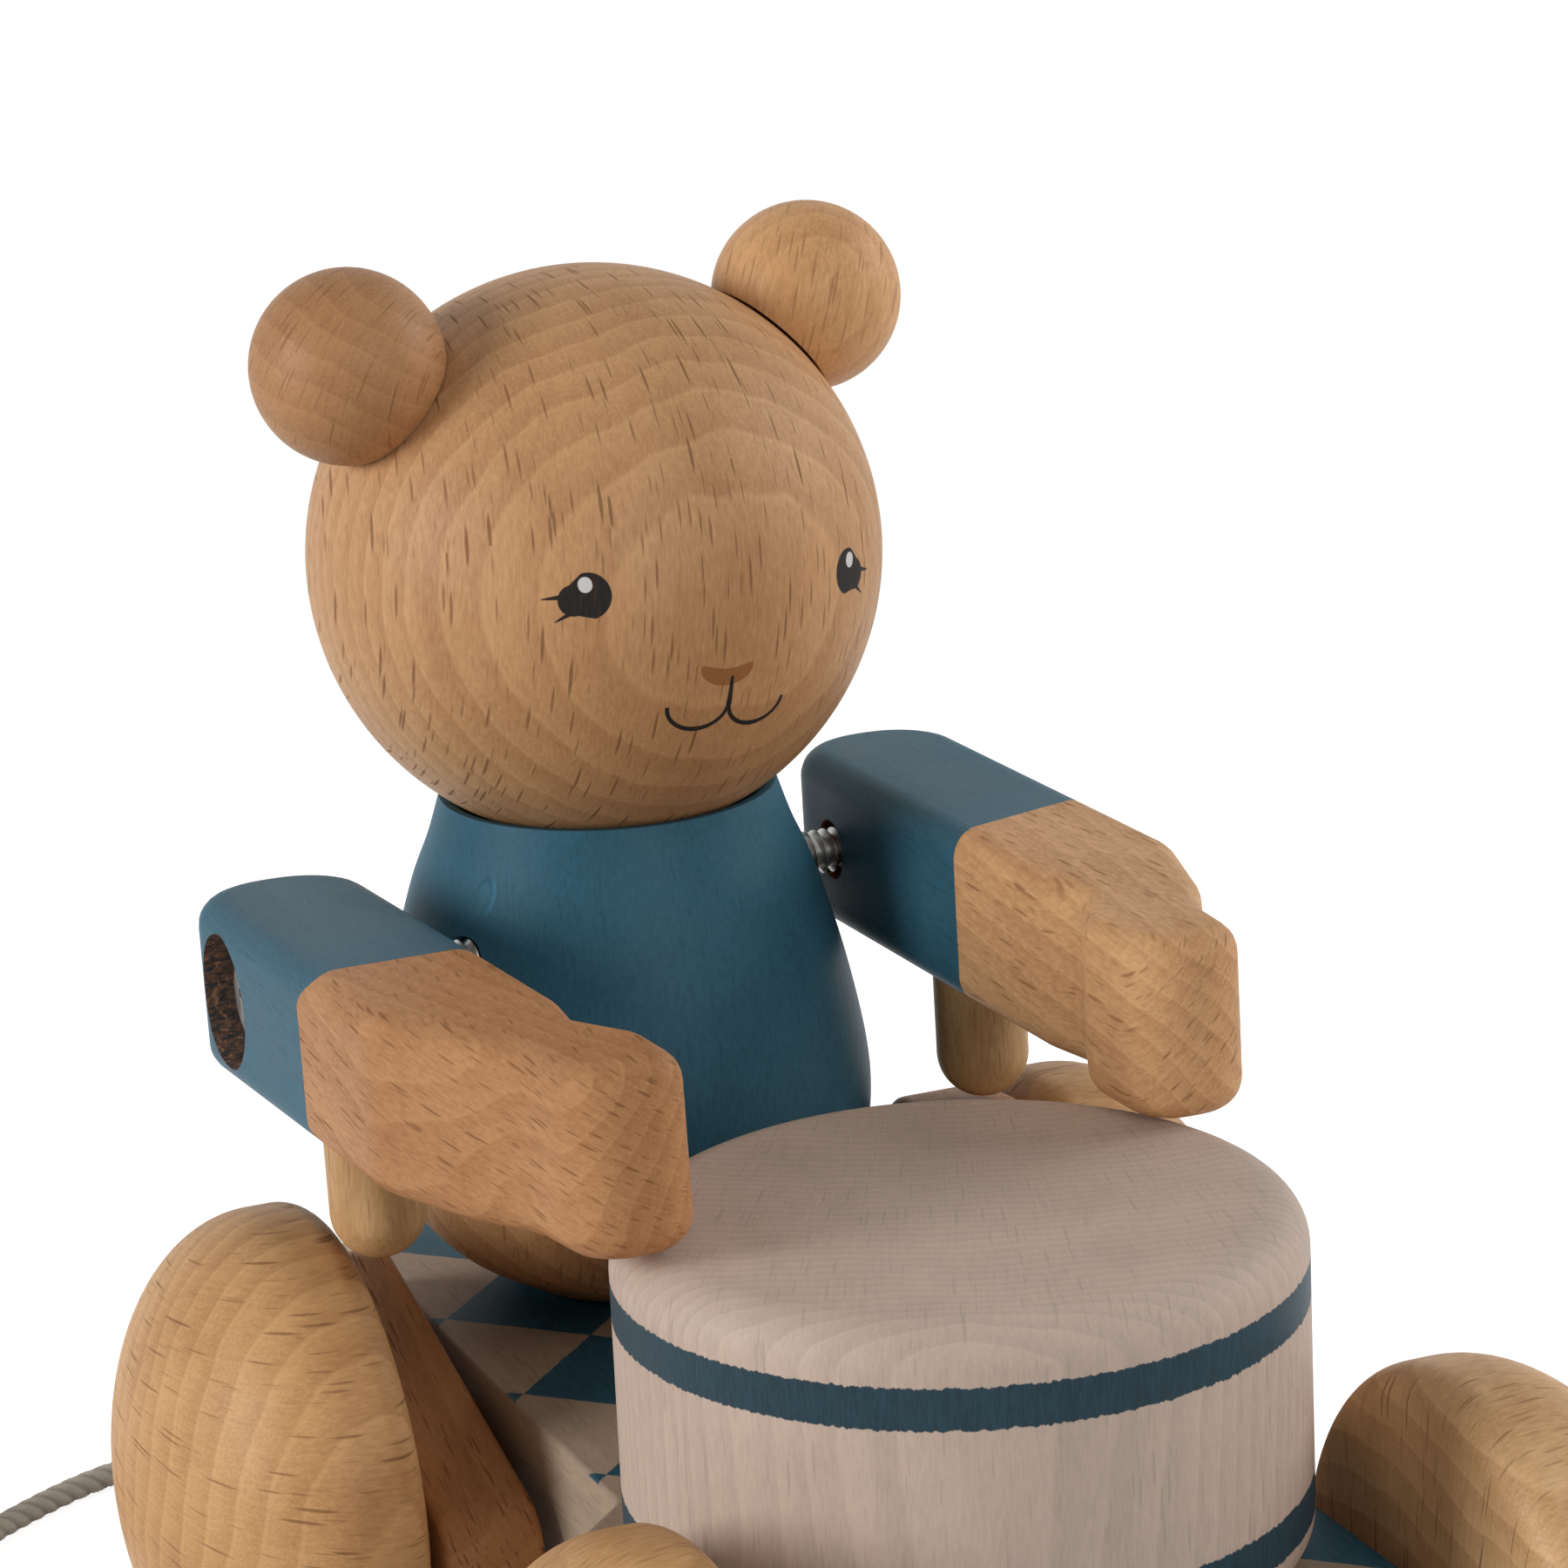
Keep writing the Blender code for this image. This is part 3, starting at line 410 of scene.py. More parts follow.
def beech_figure(look, centre, pith, grain, ring=3.0, figure=0.5, flecks=1.0, fleck_depth=0.15, silk=0.7,
                 stain=(1, 1, 1), woods=None):
    """Beech on object coordinates: rings about a pith line, ray flecks, fine pores and silky cross lines.

    The pith line runs along the grain through a point off the piece's centre. A fleck is a small plate that
    stands on the rings, fleck_depth millimetres deep, so it is a dash along the grain, or a line on the end
    grain. The woods are early wood, late wood and flecks. Gives colour, flecks and pores.
    """
    shade = colours()
    grain = Vector(grain).normalized()
    away = Vector(pith)
    away -= grain * away.dot(grain)
    x, y, z = look.spot(Vector(centre) + away * MM, grain.to_track_quat("Z", "Y").to_euler())
    drift = look.noise(look.join(x * 0.06, y * 0.06, z * 0.014)) - 0.5
    plain = look.reach(x, y)
    across = plain + drift * 5.0
    around = look.sum("ARCTAN2", y, x) * max(away.length, 8.0)
    year = look.sum("FRACT", across / ring)
    late = look.ease(year, 0.15, 0.92) - look.ease(year, 0.92, 1.0)
    edge = look.ease(year, 0.16, 0.05)
    cell = (max(0.8, 2.4 * fleck_depth), 0.8, 4.8)
    half = (fleck_depth, 0.13, 2.1)
    cells = look.join(plain / cell[0], around / cell[1] + drift, z / cell[2])
    spots = look.node("ShaderNodeTexVoronoi", sockets={"Vector": cells, "Scale": 1.0}, out="Position")
    luck, _, _ = look.split(spots.also("Color"))
    ratio = [wide / narrow for wide, narrow in zip(cell, half)]
    off = look.vector("MULTIPLY", look.vector("SUBTRACT", cells, spots), ratio)
    far = look.vector("LENGTH", off, (0, 0, 0), "Value") * (1.5 - luck * 0.75)
    dashes = look.ease(far, 1.0, 0.5) * (luck * 0.65 + 0.35) * flecks
    sheen = look.noise(look.join(around / 0.32, across / 5.0, z / 1.3))
    pores = look.noise(look.join(x * 3.3, y * 3.3, z * 0.42), 1.0, 3.0, 0.65)
    cloud = look.noise(look.join(x * 0.11, y * 0.11, z * 0.04), 1.0, 3.0)
    tone = (late * 0.6 - edge * 0.3) * figure + (sheen - 0.5) * silk
    tone = look.clamp(tone + (pores - 0.5) * 1.3 + (cloud - 0.5) * 1.1 + 0.3)
    woods = woods or (shade.beech, shade.late_wood, shade.ray)
    # The shares per channel give a piece its own tone, and on some pieces painted light or painted shade
    early, dark, ray = ([min(1.0, part * share) for part, share in zip(wood, stain)] for wood in woods)
    return look.mix(dashes * 0.78, look.mix(tone, early, dark), ray), dashes, pores


def wood_relief(rays, pores):
    """Roughness and height of oiled wood."""
    return 0.5 + rays * 0.2 + (pores - 0.5) * 0.3, pores * 0.6 - rays


def natural(name, centre, pith, grain=(0, 0, 1), **figure):
    """Oiled beech."""
    look = Finish(f"{name}_beech")
    colour, rays, pores = beech_figure(look, centre, pith, grain, **figure)
    return look.done(colour, *wood_relief(rays, pores), strength=0.35, sheen=WOOD_SHEEN)


def paint_over(look, colour, rays, pores, mask, seed):
    """Satin blue over wood where the mask is 1, with the grain faintly telegraphed through it."""
    cloud = look.noise(look.place(seed), 0.07, 4.0, 0.6)
    speck = look.noise(look.place(seed), 1.5)
    dark = [0.72 * part for part in colours().blue]
    pale = [1.35 * part + 0.008 for part in colours().blue]
    tone = (cloud - 0.5) * 0.9 + (speck - 0.5) * 0.35 + (pores - 0.5) * 0.9 - rays * 0.3 + 0.5
    coat = look.mix(look.clamp(tone), dark, pale)
    wood_rough, wood_height = wood_relief(rays, pores)
    coat_rough = 0.48 + (cloud - 0.5) * 0.2 + (speck - 0.5) * 0.12
    rough = wood_rough + mask * (coat_rough - wood_rough)
    height = wood_height + mask * (wood_height * -0.55 + speck * 0.25)
    return look.mix(mask, colour, coat), rough, height


def body_finish(middle):
    """The body: blue paint above a turned line, natural beech below, and a small oval dent in the paint that
    is painted a little lighter inside, with a painted highlight on its right rim.
    """
    look = Finish("body_paint")
    wood = beech_figure(look, middle, (10, 70, 0), (0, 0, 1), flecks=0.6, fleck_depth=2.0)
    _, _, z = look.spot()
    ragged = look.fuzz(0.7) - 0.5
    mask = look.ease(z + ragged * 0.35, PAINT_LINE, PAINT_LINE + 0.3)
    colour, rough, height = paint_over(look, *wood, mask, (0.1, 0, 0))
    u, v, w = look.spot((middle.x, middle.y, DENT_HEIGHT * MM), (0, 0, radians(DENT_ANGLE)))
    oval = look.reach(u / DENT_HALF[0], w / DENT_HALF[1])
    near = look.ease(v, 0.0, -5.0)
    dent = look.ease(oval, 1.05, 0.6) * near
    # Painted highlight: a pale crescent on the right of the dent's rim, where the light catches it; the
    # dent's inside is painted a little lighter too
    rim = look.ease(abs(oval - 0.9), 0.32, 0.0) * look.ease(u, 0.2, 1.1) * near
    pale, highlight_blue = stained(colours().blue, 1.5, 2.6)
    colour = look.mix(rim * 0.55, look.mix(dent * 0.3, colour, pale), highlight_blue)
    return look.done(colour, rough, height - dent * 7.0, strength=0.4, sheen=PAINT_SHEEN)


def arm_finish(side, turn):
    """An arm: painted sleeve, natural paw, and rough raw wood in the recess of its screw."""
    look = Finish(f"arm_{side}_paint")
    shoulder = SHOULDERS[side]
    sign = SIDES[side]
    pith, grain, stain = PAW_LOOKS[side]
    paw = shoulder - Vector((0, 60 * MM, 0))
    wood = beech_figure(look, paw, pith, grain, ring=2.3, figure=0.4, flecks=0.8, fleck_depth=0.8, silk=1.0,
                        stain=stain)
    x, y, z = look.spot(shoulder, (turn, 0, 0))
    ragged = look.fuzz(0.9) - 0.5
    start, lean, rise = DIP_LINES[side]
    line = y - x * lean - start - look.ease(z, 9.0, 5.0) * rise + ragged * 0.3
    mask = look.ease(line, -0.1, 0.15)
    colour, rough, height = paint_over(look, *wood, mask, (0.05 * sign, 0, 0.1))
    round_screw = look.reach(y, z)
    recess = look.ease(round_screw, 7.06, 6.96) * look.ease(x * sign, ARM_HALF - 6.4, ARM_HALF - 6.1)
    inside = look.sum("MAXIMUM", recess, look.ease(round_screw, 3.3, 3.2))
    torn = look.noise(look.join(x * 0.9, y * 2.6, z * 2.6), 1.0, 4.0, 0.7)
    dust = look.fuzz(1.5)
    dark, pale, dusty = stained(colours().raw_wood, 0.3, 2.0, 3.4)
    raw = look.mix(look.ease(torn, 0.35, 0.68), dark, pale)
    raw = look.mix(look.ease(dust, 0.58, 0.66) * 0.8, raw, dusty)
    colour = look.mix(inside, colour, raw)
    rough = rough + inside * (0.92 - rough)
    return look.done(colour, rough, height + inside * (torn * 9.0), strength=0.4, sheen=PAINT_SHEEN)


def drum_finish(middle):
    """The drum: thin greige lacquer over its upright grain, and two blue stripes that bleed along it."""
    look = Finish("drum_lacquer")
    woods = stained(colours().drum, 1.08, 0.84, 0.62)
    colour, rays, pores = beech_figure(look, middle, (38, 94, 0), (0.02, 0.03, 1), ring=1.5, flecks=0.5,
                                       fleck_depth=2.6, woods=woods)
    x, y, z = look.spot()
    line = look.noise(look.join(x * 1.5, y * 1.5, z * 0.045), 1.0, 3.0, 0.6)
    ragged = z + (line - 0.5) * 0.9
    soft = 0.08
    lower, upper = (look.ease(ragged, low - soft, low + soft) - look.ease(ragged, high - soft, high + soft)
                    for low, high in STRIPES)
    stripe = lower + upper
    blue = look.mix(look.ease(pores, 0.35, 0.65), *stained(colours().blue, 0.36, 0.56))
    colour = look.mix(stripe * 0.97, colour, blue)
    rough = 0.52 + (pores - 0.5) * 0.25 - stripe * 0.06
    return look.done(colour, rough, pores * 0.7 - rays * 0.6, strength=0.4, sheen=PAINT_SHEEN)


def board_finish(top):
    """The board: pale paint over its grain, and a chequer of blue and pale diamonds on top."""
    look = Finish("board_paint")
    woods = stained(colours().board, 1.1, 0.82, 0.6)
    colour, rays, pores = beech_figure(look, (0, 0, top), (30, 0, -80), (0, 1, 0), ring=4.0, figure=0.35,
                                       flecks=0.6, fleck_depth=1.2, woods=woods)
    x, y, z = look.spot()
    blue = look.mix(look.ease(pores, 0.3, 0.7), *stained(colours().blue, 0.6, 1.05))
    ragged = (look.fuzz(0.6, 3.0) - 0.5) * 0.5
    diamond = look.sum("PINGPONG", x + DIAMOND, DIAMOND) + look.sum("PINGPONG", y - DIAMOND_START, DIAMOND)
    chequer = look.ease(diamond + ragged, DIAMOND + 0.12, DIAMOND - 0.12)
    chequer = chequer * look.ease(z, top / MM - 0.35, top / MM - 0.2)
    rough = 0.5 + (pores - 0.5) * 0.25
    height = pores * 0.7 - rays * 0.6
    return look.done(look.mix(chequer, colour, blue), rough, height, strength=0.3, sheen=PAINT_SHEEN)


def head_finish(centre, radius):
    """The head: beech with its rings round the face, and the printed eyes, nose and mouth."""
    look = Finish("head_beech")
    shade = colours()
    turn = radians(HEAD_TURN)
    ahead = Vector((sin(turn), -cos(turn), 0))
    colour, rays, pores = beech_figure(look, centre, -ahead * 75, (0.06, 0.03, 1), ring=2.7, figure=0.48,
                                       fleck_depth=2.0)
    rough, height = wood_relief(rays, pores)
    x, y, z = look.spot(centre, (0, 0, turn))
    round_u = look.sum("ARCTAN2", x, 0 - y) * radius
    round_v = look.sum("ARCSINE", z / radius) * radius
    lean = radians(FACE_ROLL)
    u = round_u * cos(lean) - round_v * sin(lean)
    v = round_u * sin(lean) + round_v * cos(lean)
    side = abs(u - 0.35)
    arm_u = abs(u - 0.25) - 3.6
    arm_v = v + 10.6
    bow = look.reach(arm_u / 3.55, arm_v / 2.8) - 1
    ink = look.sum("MAXIMUM", abs(bow * 3.1) - 0.34 + abs(arm_u) * 0.035, arm_v - 0.05)
    for across, start, end, start_r, end_r in (
            (side, (15.85, 1.45), (17.3, 0.95), 2.38, 1.6),
            (side, (18.2, 1.3), (20.5, 0.9), 0.32, 0.07),
            (side, (17.3, -0.2), (19.05, -1.3), 0.3, 0.07),
            (u, (0.12, -7.6), (0.25, -10.6), 0.2, 0.34)):
        ink = look.sum("MINIMUM", ink, look.stroke(across, v, start, end, start_r, end_r))
    ink = look.ease(ink, 0.05, -0.06)
    glint = look.ease(look.stroke(side, v, (16.15, 2.5), (16.2, 2.65), 0.72, 0.72), 0.05, -0.06)
    nose_u = (u + 0.55) / 3.05
    nose_v = (v + 7.5 - nose_u * nose_u) / 0.95
    nose = look.sum("POWER", abs(nose_u), 3.0) + look.sum("POWER", abs(nose_v), 3.0)
    colour = look.mix(look.ease(nose, 1.12, 0.88) * 0.85, colour, shade.nose)
    worn = 0.99 - rays * 0.12 - look.ease(pores, 0.62, 0.8) * 0.04
    colour = look.mix(glint, look.mix(ink * worn, colour, shade.ink), shade.shine)
    return look.done(colour, rough + ink * 0.25, height, strength=0.35, sheen=WOOD_SHEEN)


def steel_finish(name, grain):
    """Bright plated steel with fine turning marks."""
    look = Finish(f"{name}_steel")
    streak = look.noise(look.vector("MULTIPLY", look.place(), grain), 1.0, 3.0)
    blotch = look.fuzz(0.42, 3.0)
    colour = look.mix(blotch, *stained(colours().steel, 0.72, 1.2))
    rough = 0.2 + streak * 0.16 + blotch * 0.14
    return look.done(colour, rough, streak, strength=0.3, depth=0.00002, metallic=1.0)


def cord_finish():
    """Twisted cotton cord: painted shade darkens the grooves between the strands, with fibres that stray."""
    look = Finish("cotton_cord")
    crest = look.node("ShaderNodeAttribute", {"attribute_name": "crest"}, out="Fac")
    fibre = look.fuzz(3.4, 3.0, 0.7)
    cloud = look.fuzz(0.16)
    # Painted shade: where the crest attribute is low, in the grooves, the cord takes the darker groove colour
    tone = look.ease(crest, 0.0, 0.8) * 0.85 + (fibre - 0.5) * 0.7 + (cloud - 0.5) * 0.3
    colour = look.mix(look.clamp(tone), colours().cord_groove_shade, colours().cord)
    return look.done(colour, 0.86 + (fibre - 0.5) * 0.15, fibre, strength=0.6, depth=0.00015)


def arc(centre, radius, start, end, count):
    """Points along an arc, its angles in degrees."""
    angles = [radians(start + (end - start) * k / count) for k in range(count + 1)]
    return [(centre[0] + radius * cos(a), centre[1] + radius * sin(a)) for a in angles]


def smooth_path(points, step):
    """Points about a step apart on a Catmull-Rom curve through the given points."""
    points = [Vector(point) for point in points]
    padded = [2 * points[0] - points[1]] + points + [2 * points[-1] - points[-2]]
    path = [points[0]]
    for before, start, end, after in zip(padded, padded[1:], padded[2:], padded[3:]):
        count = max(1, round((end - start).length / step))
        for k in range(1, count + 1):
            t = k / count
            bend = 2 * before - 5 * start + 4 * end - after
            swing = 3 * start - before - 3 * end + after
            path.append(0.5 * (2 * start + (end - before) * t + bend * t ** 2 + swing * t ** 3))
    return path


def facing(axis, place):
    """The frame at a place whose Z runs along an axis."""
    return Matrix.Translation(Vector(place)) @ Vector(axis).to_track_quat("Z", "Y").to_matrix().to_4x4()


def placed(bm, matrix):
    """The shape moved to its place."""
    bmesh.ops.transform(bm, matrix=matrix, verts=bm.verts)
    return bm


def outward(bm):
    """The shape with all its faces turned outward."""
    bmesh.ops.recalc_face_normals(bm, faces=bm.faces)
    return bm


def of_kind(geometry, kind):
    return [item for item in geometry if isinstance(item, kind)]


def open_edges(bm):
    return [edge for edge in bm.edges if edge.is_boundary]


def spun(outline, angle, steps, merge, **spin):
    """An outline of (radius, height) points spun about Z."""
    bm = bmesh.new()
    verts = [bm.verts.new((max(radius, 0.0), 0, height)) for radius, height in outline]
    edges = [bm.edges.new(pair) for pair in zip(verts, verts[1:])]
    bmesh.ops.spin(bm, geom=verts + edges, cent=(0, 0, 0), axis=(0, 0, 1), angle=angle, steps=steps, **spin)
    bmesh.ops.remove_doubles(bm, verts=bm.verts, dist=merge)
    return bm


def turned(profile, place=(0, 0, 0), axis=(0, 0, 1), steps=96):
    """A turned solid: an outline of (radius, height) points spun about an axis through its place."""
    bm = spun(profile, 2 * pi, steps, 0.000002, use_merge=True)
    return placed(outward(bm), facing(axis, place))


def threaded(turns, per_turn=24):
    """A screw thread along Z from 0: one turn's outline swept up a helix, with both ends filled."""
    outline = ((THREAD_ROOT, 0.0), (THREAD_ROOT, 0.2), (THREAD_R, 0.52), (THREAD_R, 0.62),
               (THREAD_ROOT, 0.94), (THREAD_ROOT, 1.0))
    rising = [(radius, share * THREAD_PITCH) for radius, share in outline]
    step = (0, 0, THREAD_PITCH / per_turn)
    bm = spun(rising, 2 * pi * turns, per_turn * turns, 0.000004, dvec=step)
    bmesh.ops.holes_fill(bm, edges=open_edges(bm), sides=0)
    # On the helical ends the recalculation can go either way, so the volume decides
    if outward(bm).calc_volume(signed=True) < 0:
        bmesh.ops.reverse_faces(bm, faces=bm.faces)
    return bm


def thickened(bm, thick):
    """A flat face drawn up into a solid."""
    made = bmesh.ops.extrude_face_region(bm, geom=bm.faces[:])["geom"]
    bmesh.ops.translate(bm, verts=of_kind(made, bmesh.types.BMVert), vec=(0, 0, thick))
    return outward(bm)


def plate(corners, thick, edge, segments):
    """A sawn plate about Z = 0 with rounded corners of (x, y, radius), a thickness and softened edges."""
    bm = bmesh.new()
    verts = [bm.verts.new((x, y, -thick / 2)) for x, y, _ in corners]
    bm.faces.new(verts)
    for k, (vert, (x, y, radius)) in enumerate(zip(verts, corners)):
        here = Vector((x, y))
        before = Vector(corners[k - 1][:2]) - here
        after = Vector(corners[(k + 1) % len(corners)][:2]) - here
        bmesh.ops.bevel(bm, geom=[vert], offset=radius / tan(before.angle(after) / 2), offset_type="OFFSET",
                        segments=8, profile=0.5, affect="VERTICES", material=-1)
    thickened(bm, thick)
    rim = [item for item in bm.edges if item.calc_face_angle(0.0) > radians(50)]
    bmesh.ops.bevel(bm, geom=rim, offset=edge, offset_type="OFFSET", segments=segments, profile=0.5,
                    affect="EDGES", material=-1, clamp_overlap=False)
    return bm


def cross_cutter(reach, width, depth, place, axis):
    """A cross-shaped driver recess that ends at its place and is cut against the axis."""
    bm = bmesh.new()
    corners = []
    for quarter in range(4):
        turn = Matrix.Rotation(quarter * pi / 2, 3, "Z")
        corner = ((reach, -width, 0), (reach, width, 0), (width, width, 0))
        corners += [turn @ Vector(point) for point in corner]
    bm.faces.new([bm.verts.new(point) for point in corners])
    thickened(bm, 2 * depth)
    return placed(bm, facing(axis, Vector(place) - Vector(axis).normalized() * depth))


def rods(holes, steps=48):
    """Round drills, each from a start to an end with a radius."""
    bm = bmesh.new()
    for start, end, radius in holes:
        start = Vector(start)
        end = Vector(end)
        bmesh.ops.create_cone(bm, cap_ends=True, segments=steps, radius1=radius, radius2=radius,
                              depth=(end - start).length, matrix=facing(end - start, (start + end) / 2))
    return bm


def mesh_of(name, bm):
    """The shape as a mesh."""
    mesh = bpy.data.meshes.new(name)
    bm.to_mesh(mesh)
    bm.free()
    return mesh


def added(name, data):
    """A new object in the scene."""
    made = bpy.data.objects.new(name, data)
    bpy.context.scene.collection.objects.link(made)
    return made


def carved(bm, *cutters):
    """The solid with the cutters' shapes taken out of it."""
    made = [added("carving", mesh_of("carving", part)) for part in (bm, *cutters)]
    for cutter in made[1:]:
        boolean = made[0].modifiers.new("cut", "BOOLEAN")
        boolean.operation = "DIFFERENCE"
        boolean.solver = "EXACT"
        boolean.object = cutter
    result = bmesh.new()
    result.from_object(made[0], bpy.context.evaluated_depsgraph_get())
    for part in made:
        mesh = part.data
        bpy.data.objects.remove(part)
        bpy.data.meshes.remove(mesh)
    return result


def swept(path, radius, segments, lobes=0, turn=0.0, closed=False):
    """A tube along a path; lobes make it a twisted cord, whose crest attribute is 0 in the grooves."""
    bm = bmesh.new()
    crest = bm.verts.layers.float.new("crest")
    bmesh.ops.create_circle(bm, cap_ends=False, segments=segments, radius=radius)
    for vert in bm.verts:
        vert[crest] = abs(cos(lobes / 2 * atan2(vert.co.y, vert.co.x))) if lobes else 1.0
        vert.co *= 0.88 + 0.12 * vert[crest]
    frames = []
    up = Vector((0, 0, 1)) if abs((path[1] - path[0]).normalized().z) < 0.9 else Vector((1, 0, 0))
    for k, point in enumerate(path):
        if closed:
            ahead = path[(k + 1) % len(path)] - path[k - 1]
        else:
            ahead = path[min(k + 1, len(path) - 1)] - path[max(k - 1, 0)]
        ahead.normalize()
        across = up.cross(ahead).normalized()
        up = ahead.cross(across)
        upright = Matrix((across, up, ahead)).transposed().to_4x4()
        frames.append(Matrix.Translation(point) @ upright @ Matrix.Rotation(turn * k, 4, "Z"))
    placed(bm, frames[0])
    ring = bm.edges[:]
    for before, here in zip(frames, frames[1:]):
        made = bmesh.ops.extrude_edge_only(bm, edges=ring)["geom"]
        ring = of_kind(made, bmesh.types.BMEdge)
        verts = of_kind(made, bmesh.types.BMVert)
        bmesh.ops.transform(bm, matrix=here @ before.inverted(), verts=verts)
    if closed:
        bmesh.ops.bridge_loops(bm, edges=open_edges(bm))
    else:
        bmesh.ops.holes_fill(bm, edges=open_edges(bm), sides=0)
    return outward(bm)


def piece(name, bm, look, *nodes, sharp=35):
    """A finished piece at the origin that stands for CAD nodes, on their body."""
    mesh = mesh_of(name, bm)
    mesh.materials.append(look)
    mesh.shade_smooth()
    mesh.set_sharp_from_angle(angle=radians(sharp))
    made = added(name, mesh)
    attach(made, BODIES[nodes[0]])
    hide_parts(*nodes)
    return made


def redress(node, look):
    """Gives a carried-over CAD node its finish."""
    made = frame["nodes"][node]
    made.data.materials.clear()
    made.data.materials.append(look)


def corners_of(node):
    """The low corner, the high corner and the middle of a CAD node's box."""
    low, high = (Vector(corner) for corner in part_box(node))
    return low, high, (low + high) / 2


def span_of(node):
    """How near to the toy's middle plane a CAD node starts, and how far from it the node ends."""
    return sorted(abs(corner[0]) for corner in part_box(node))


def head_centre(size):
    _, high, middle = corners_of("head")
    return Vector((middle.x, middle.y, high.z - size.head_r))


def photo_camera():
    """The photograph's camera: to the bear's right, looking a little down, through a long lens."""
    turn, down, roll = (radians(angle) for angle in PHOTO_ANGLES)
    ahead = Vector((-sin(turn) * cos(down), cos(turn) * cos(down), -sin(down)))
    right = Vector((cos(turn), sin(turn), 0))
    up = right.cross(ahead)
    across = cos(roll) * right + sin(roll) * up
    upright = cos(roll) * up - sin(roll) * right
    view = bpy.data.cameras.new("photo_camera")
    view.sensor_width = 36.0
    view.sensor_fit = "HORIZONTAL"
    view.lens = PHOTO_LENS
    view.clip_start = 0.01
    camera = added("photo_camera", view)
    camera.matrix_world = Matrix((across, upright, -ahead)).transposed().to_4x4()
    camera.location = PHOTO_PLACE
    return camera


def soft_lamp(name, place, size, watts):
    """A large soft lamp turned to the toy."""
    light = bpy.data.lights.new(name, "AREA")
    light.shape = "DISK"
    light.size = size
    light.energy = watts
    lamp = added(name, light)
    lamp.location = place
    lamp.rotation_euler = (LAMP_AIM - Vector(place)).to_track_quat("-Z", "Y").to_euler()


def white_surround(light):
    """A white surround where it is seen or mirrored, and an even soft light elsewhere."""
    surround = Finish("studio", surround=True)
    surround.feed(surround.shader.inputs["Color"], (1, 1, 1, 1))
    surround.feed(surround.shader.inputs["Strength"], surround.seen() * (1 - light) + light)
    return surround.owner


def pale_floor(colour):
    """A pale disc that takes the toy's shadow and fades into the white surround."""
    bm = bmesh.new()
    bmesh.ops.create_circle(bm, cap_ends=True, segments=96, radius=0.6)
    floor = added("floor", mesh_of("floor", bm))
    look = Finish("pale_floor")
    glow = look.mix(look.seen(), (0, 0, 0), (0.85, 0.85, 0.85))
    distance = look.vector("LENGTH", look.place(), (0, 0, 0), "Value")
    look.feed(look.shader.inputs["Emission Color"], glow)
    look.feed(look.shader.inputs["Emission Strength"], 1.0)
    look.feed(look.shader.inputs["Alpha"], look.ease(distance, 560.0, 300.0))
    floor.data.materials.append(look.done((*colour, 1.0), 0.9, sheen=0.0))


class DRUMBEAR_OT_stage(bpy.types.Operator):
    """Set up the camera, the soft lights and the pale floor"""
    bl_idname = "drumbear.stage"
    bl_label = "Stage"

    def execute(self, context):
        scene = context.scene
        setting = scene.bear_stage
        scene.view_settings.view_transform = "Standard"
        scene.camera = photo_camera()
        for name, (place, size) in LAMPS.items():
            soft_lamp(f"{name}_light", place, size, getattr(setting, name))
        scene.world = white_surround(setting.sky)
        pale_floor(setting.floor)
        return {"FINISHED"}


def cord_way(mouth, radius):
    """Points in millimetres out of the hole and along the floor, with the coil's start and heading."""
    floor = radius + CORD_CLEAR
    points = [mouth - Vector((0, HOLE_DEPTH, 0)), mouth]
    points += [Vector((x, mouth.y + y, floor + (mouth.z - floor) * share)) for x, y, share in CORD_DROP]
    points += [Vector((x, mouth.y + y, floor)) for x, y in CORD_LIE]
    points.append(Vector((COIL_START[0], mouth.y + COIL_START[1], floor + 2 * TIE + CORD_CLEAR)))
    fine = smooth_path(points, 6.5)
    heading = fine[-1] - fine[-2]
    heading.z = 0
    heading.normalize()
    return points, fine[-1] + heading * CORD_CLEAR, heading


def cord_coil(centre, heading, across, pitch):
    """Points of two layers of loops that spiral in and out, and of a tail that rises to the knot."""
    inner = COIL_OUTER - pitch * COIL_TURNS
    points = []
    for k in range(round((2 * COIL_TURNS + 0.5) * COIL_LOOP_POINTS) + 1):
        turn = k / COIL_LOOP_POINTS
        inward = turn - COIL_TURNS
        reach = inner - pitch * inward
        rise = 0.0
        if 0 < inward < 0.5:
            reach = inner - pitch * (inward - 2 * inward ** 2)
            rise = pitch * 2 * inward
        elif inward >= 0.5:
            reach = inner + pitch * (inward - 0.5)
            rise = pitch
        spoke = heading * sin(2 * pi * turn) - across * cos(2 * pi * turn)
        points.append(centre + spoke * reach + Vector((0, 0, rise)))
    last = points[-1]
    away = last - points[-2]
    away.z = 0
    away.normalize()
    for k in range(1, TAIL_POINTS + 1):
        share = k / TAIL_POINTS
        spot = last + away * TAIL_LENGTH * share
        spot.z = last.z + (BEAD - last.z) * share ** 2 * (3 - 2 * share)
        points.append(spot)
    points.append(corners_of("bead_knot")[2] / MM)
    return points, away


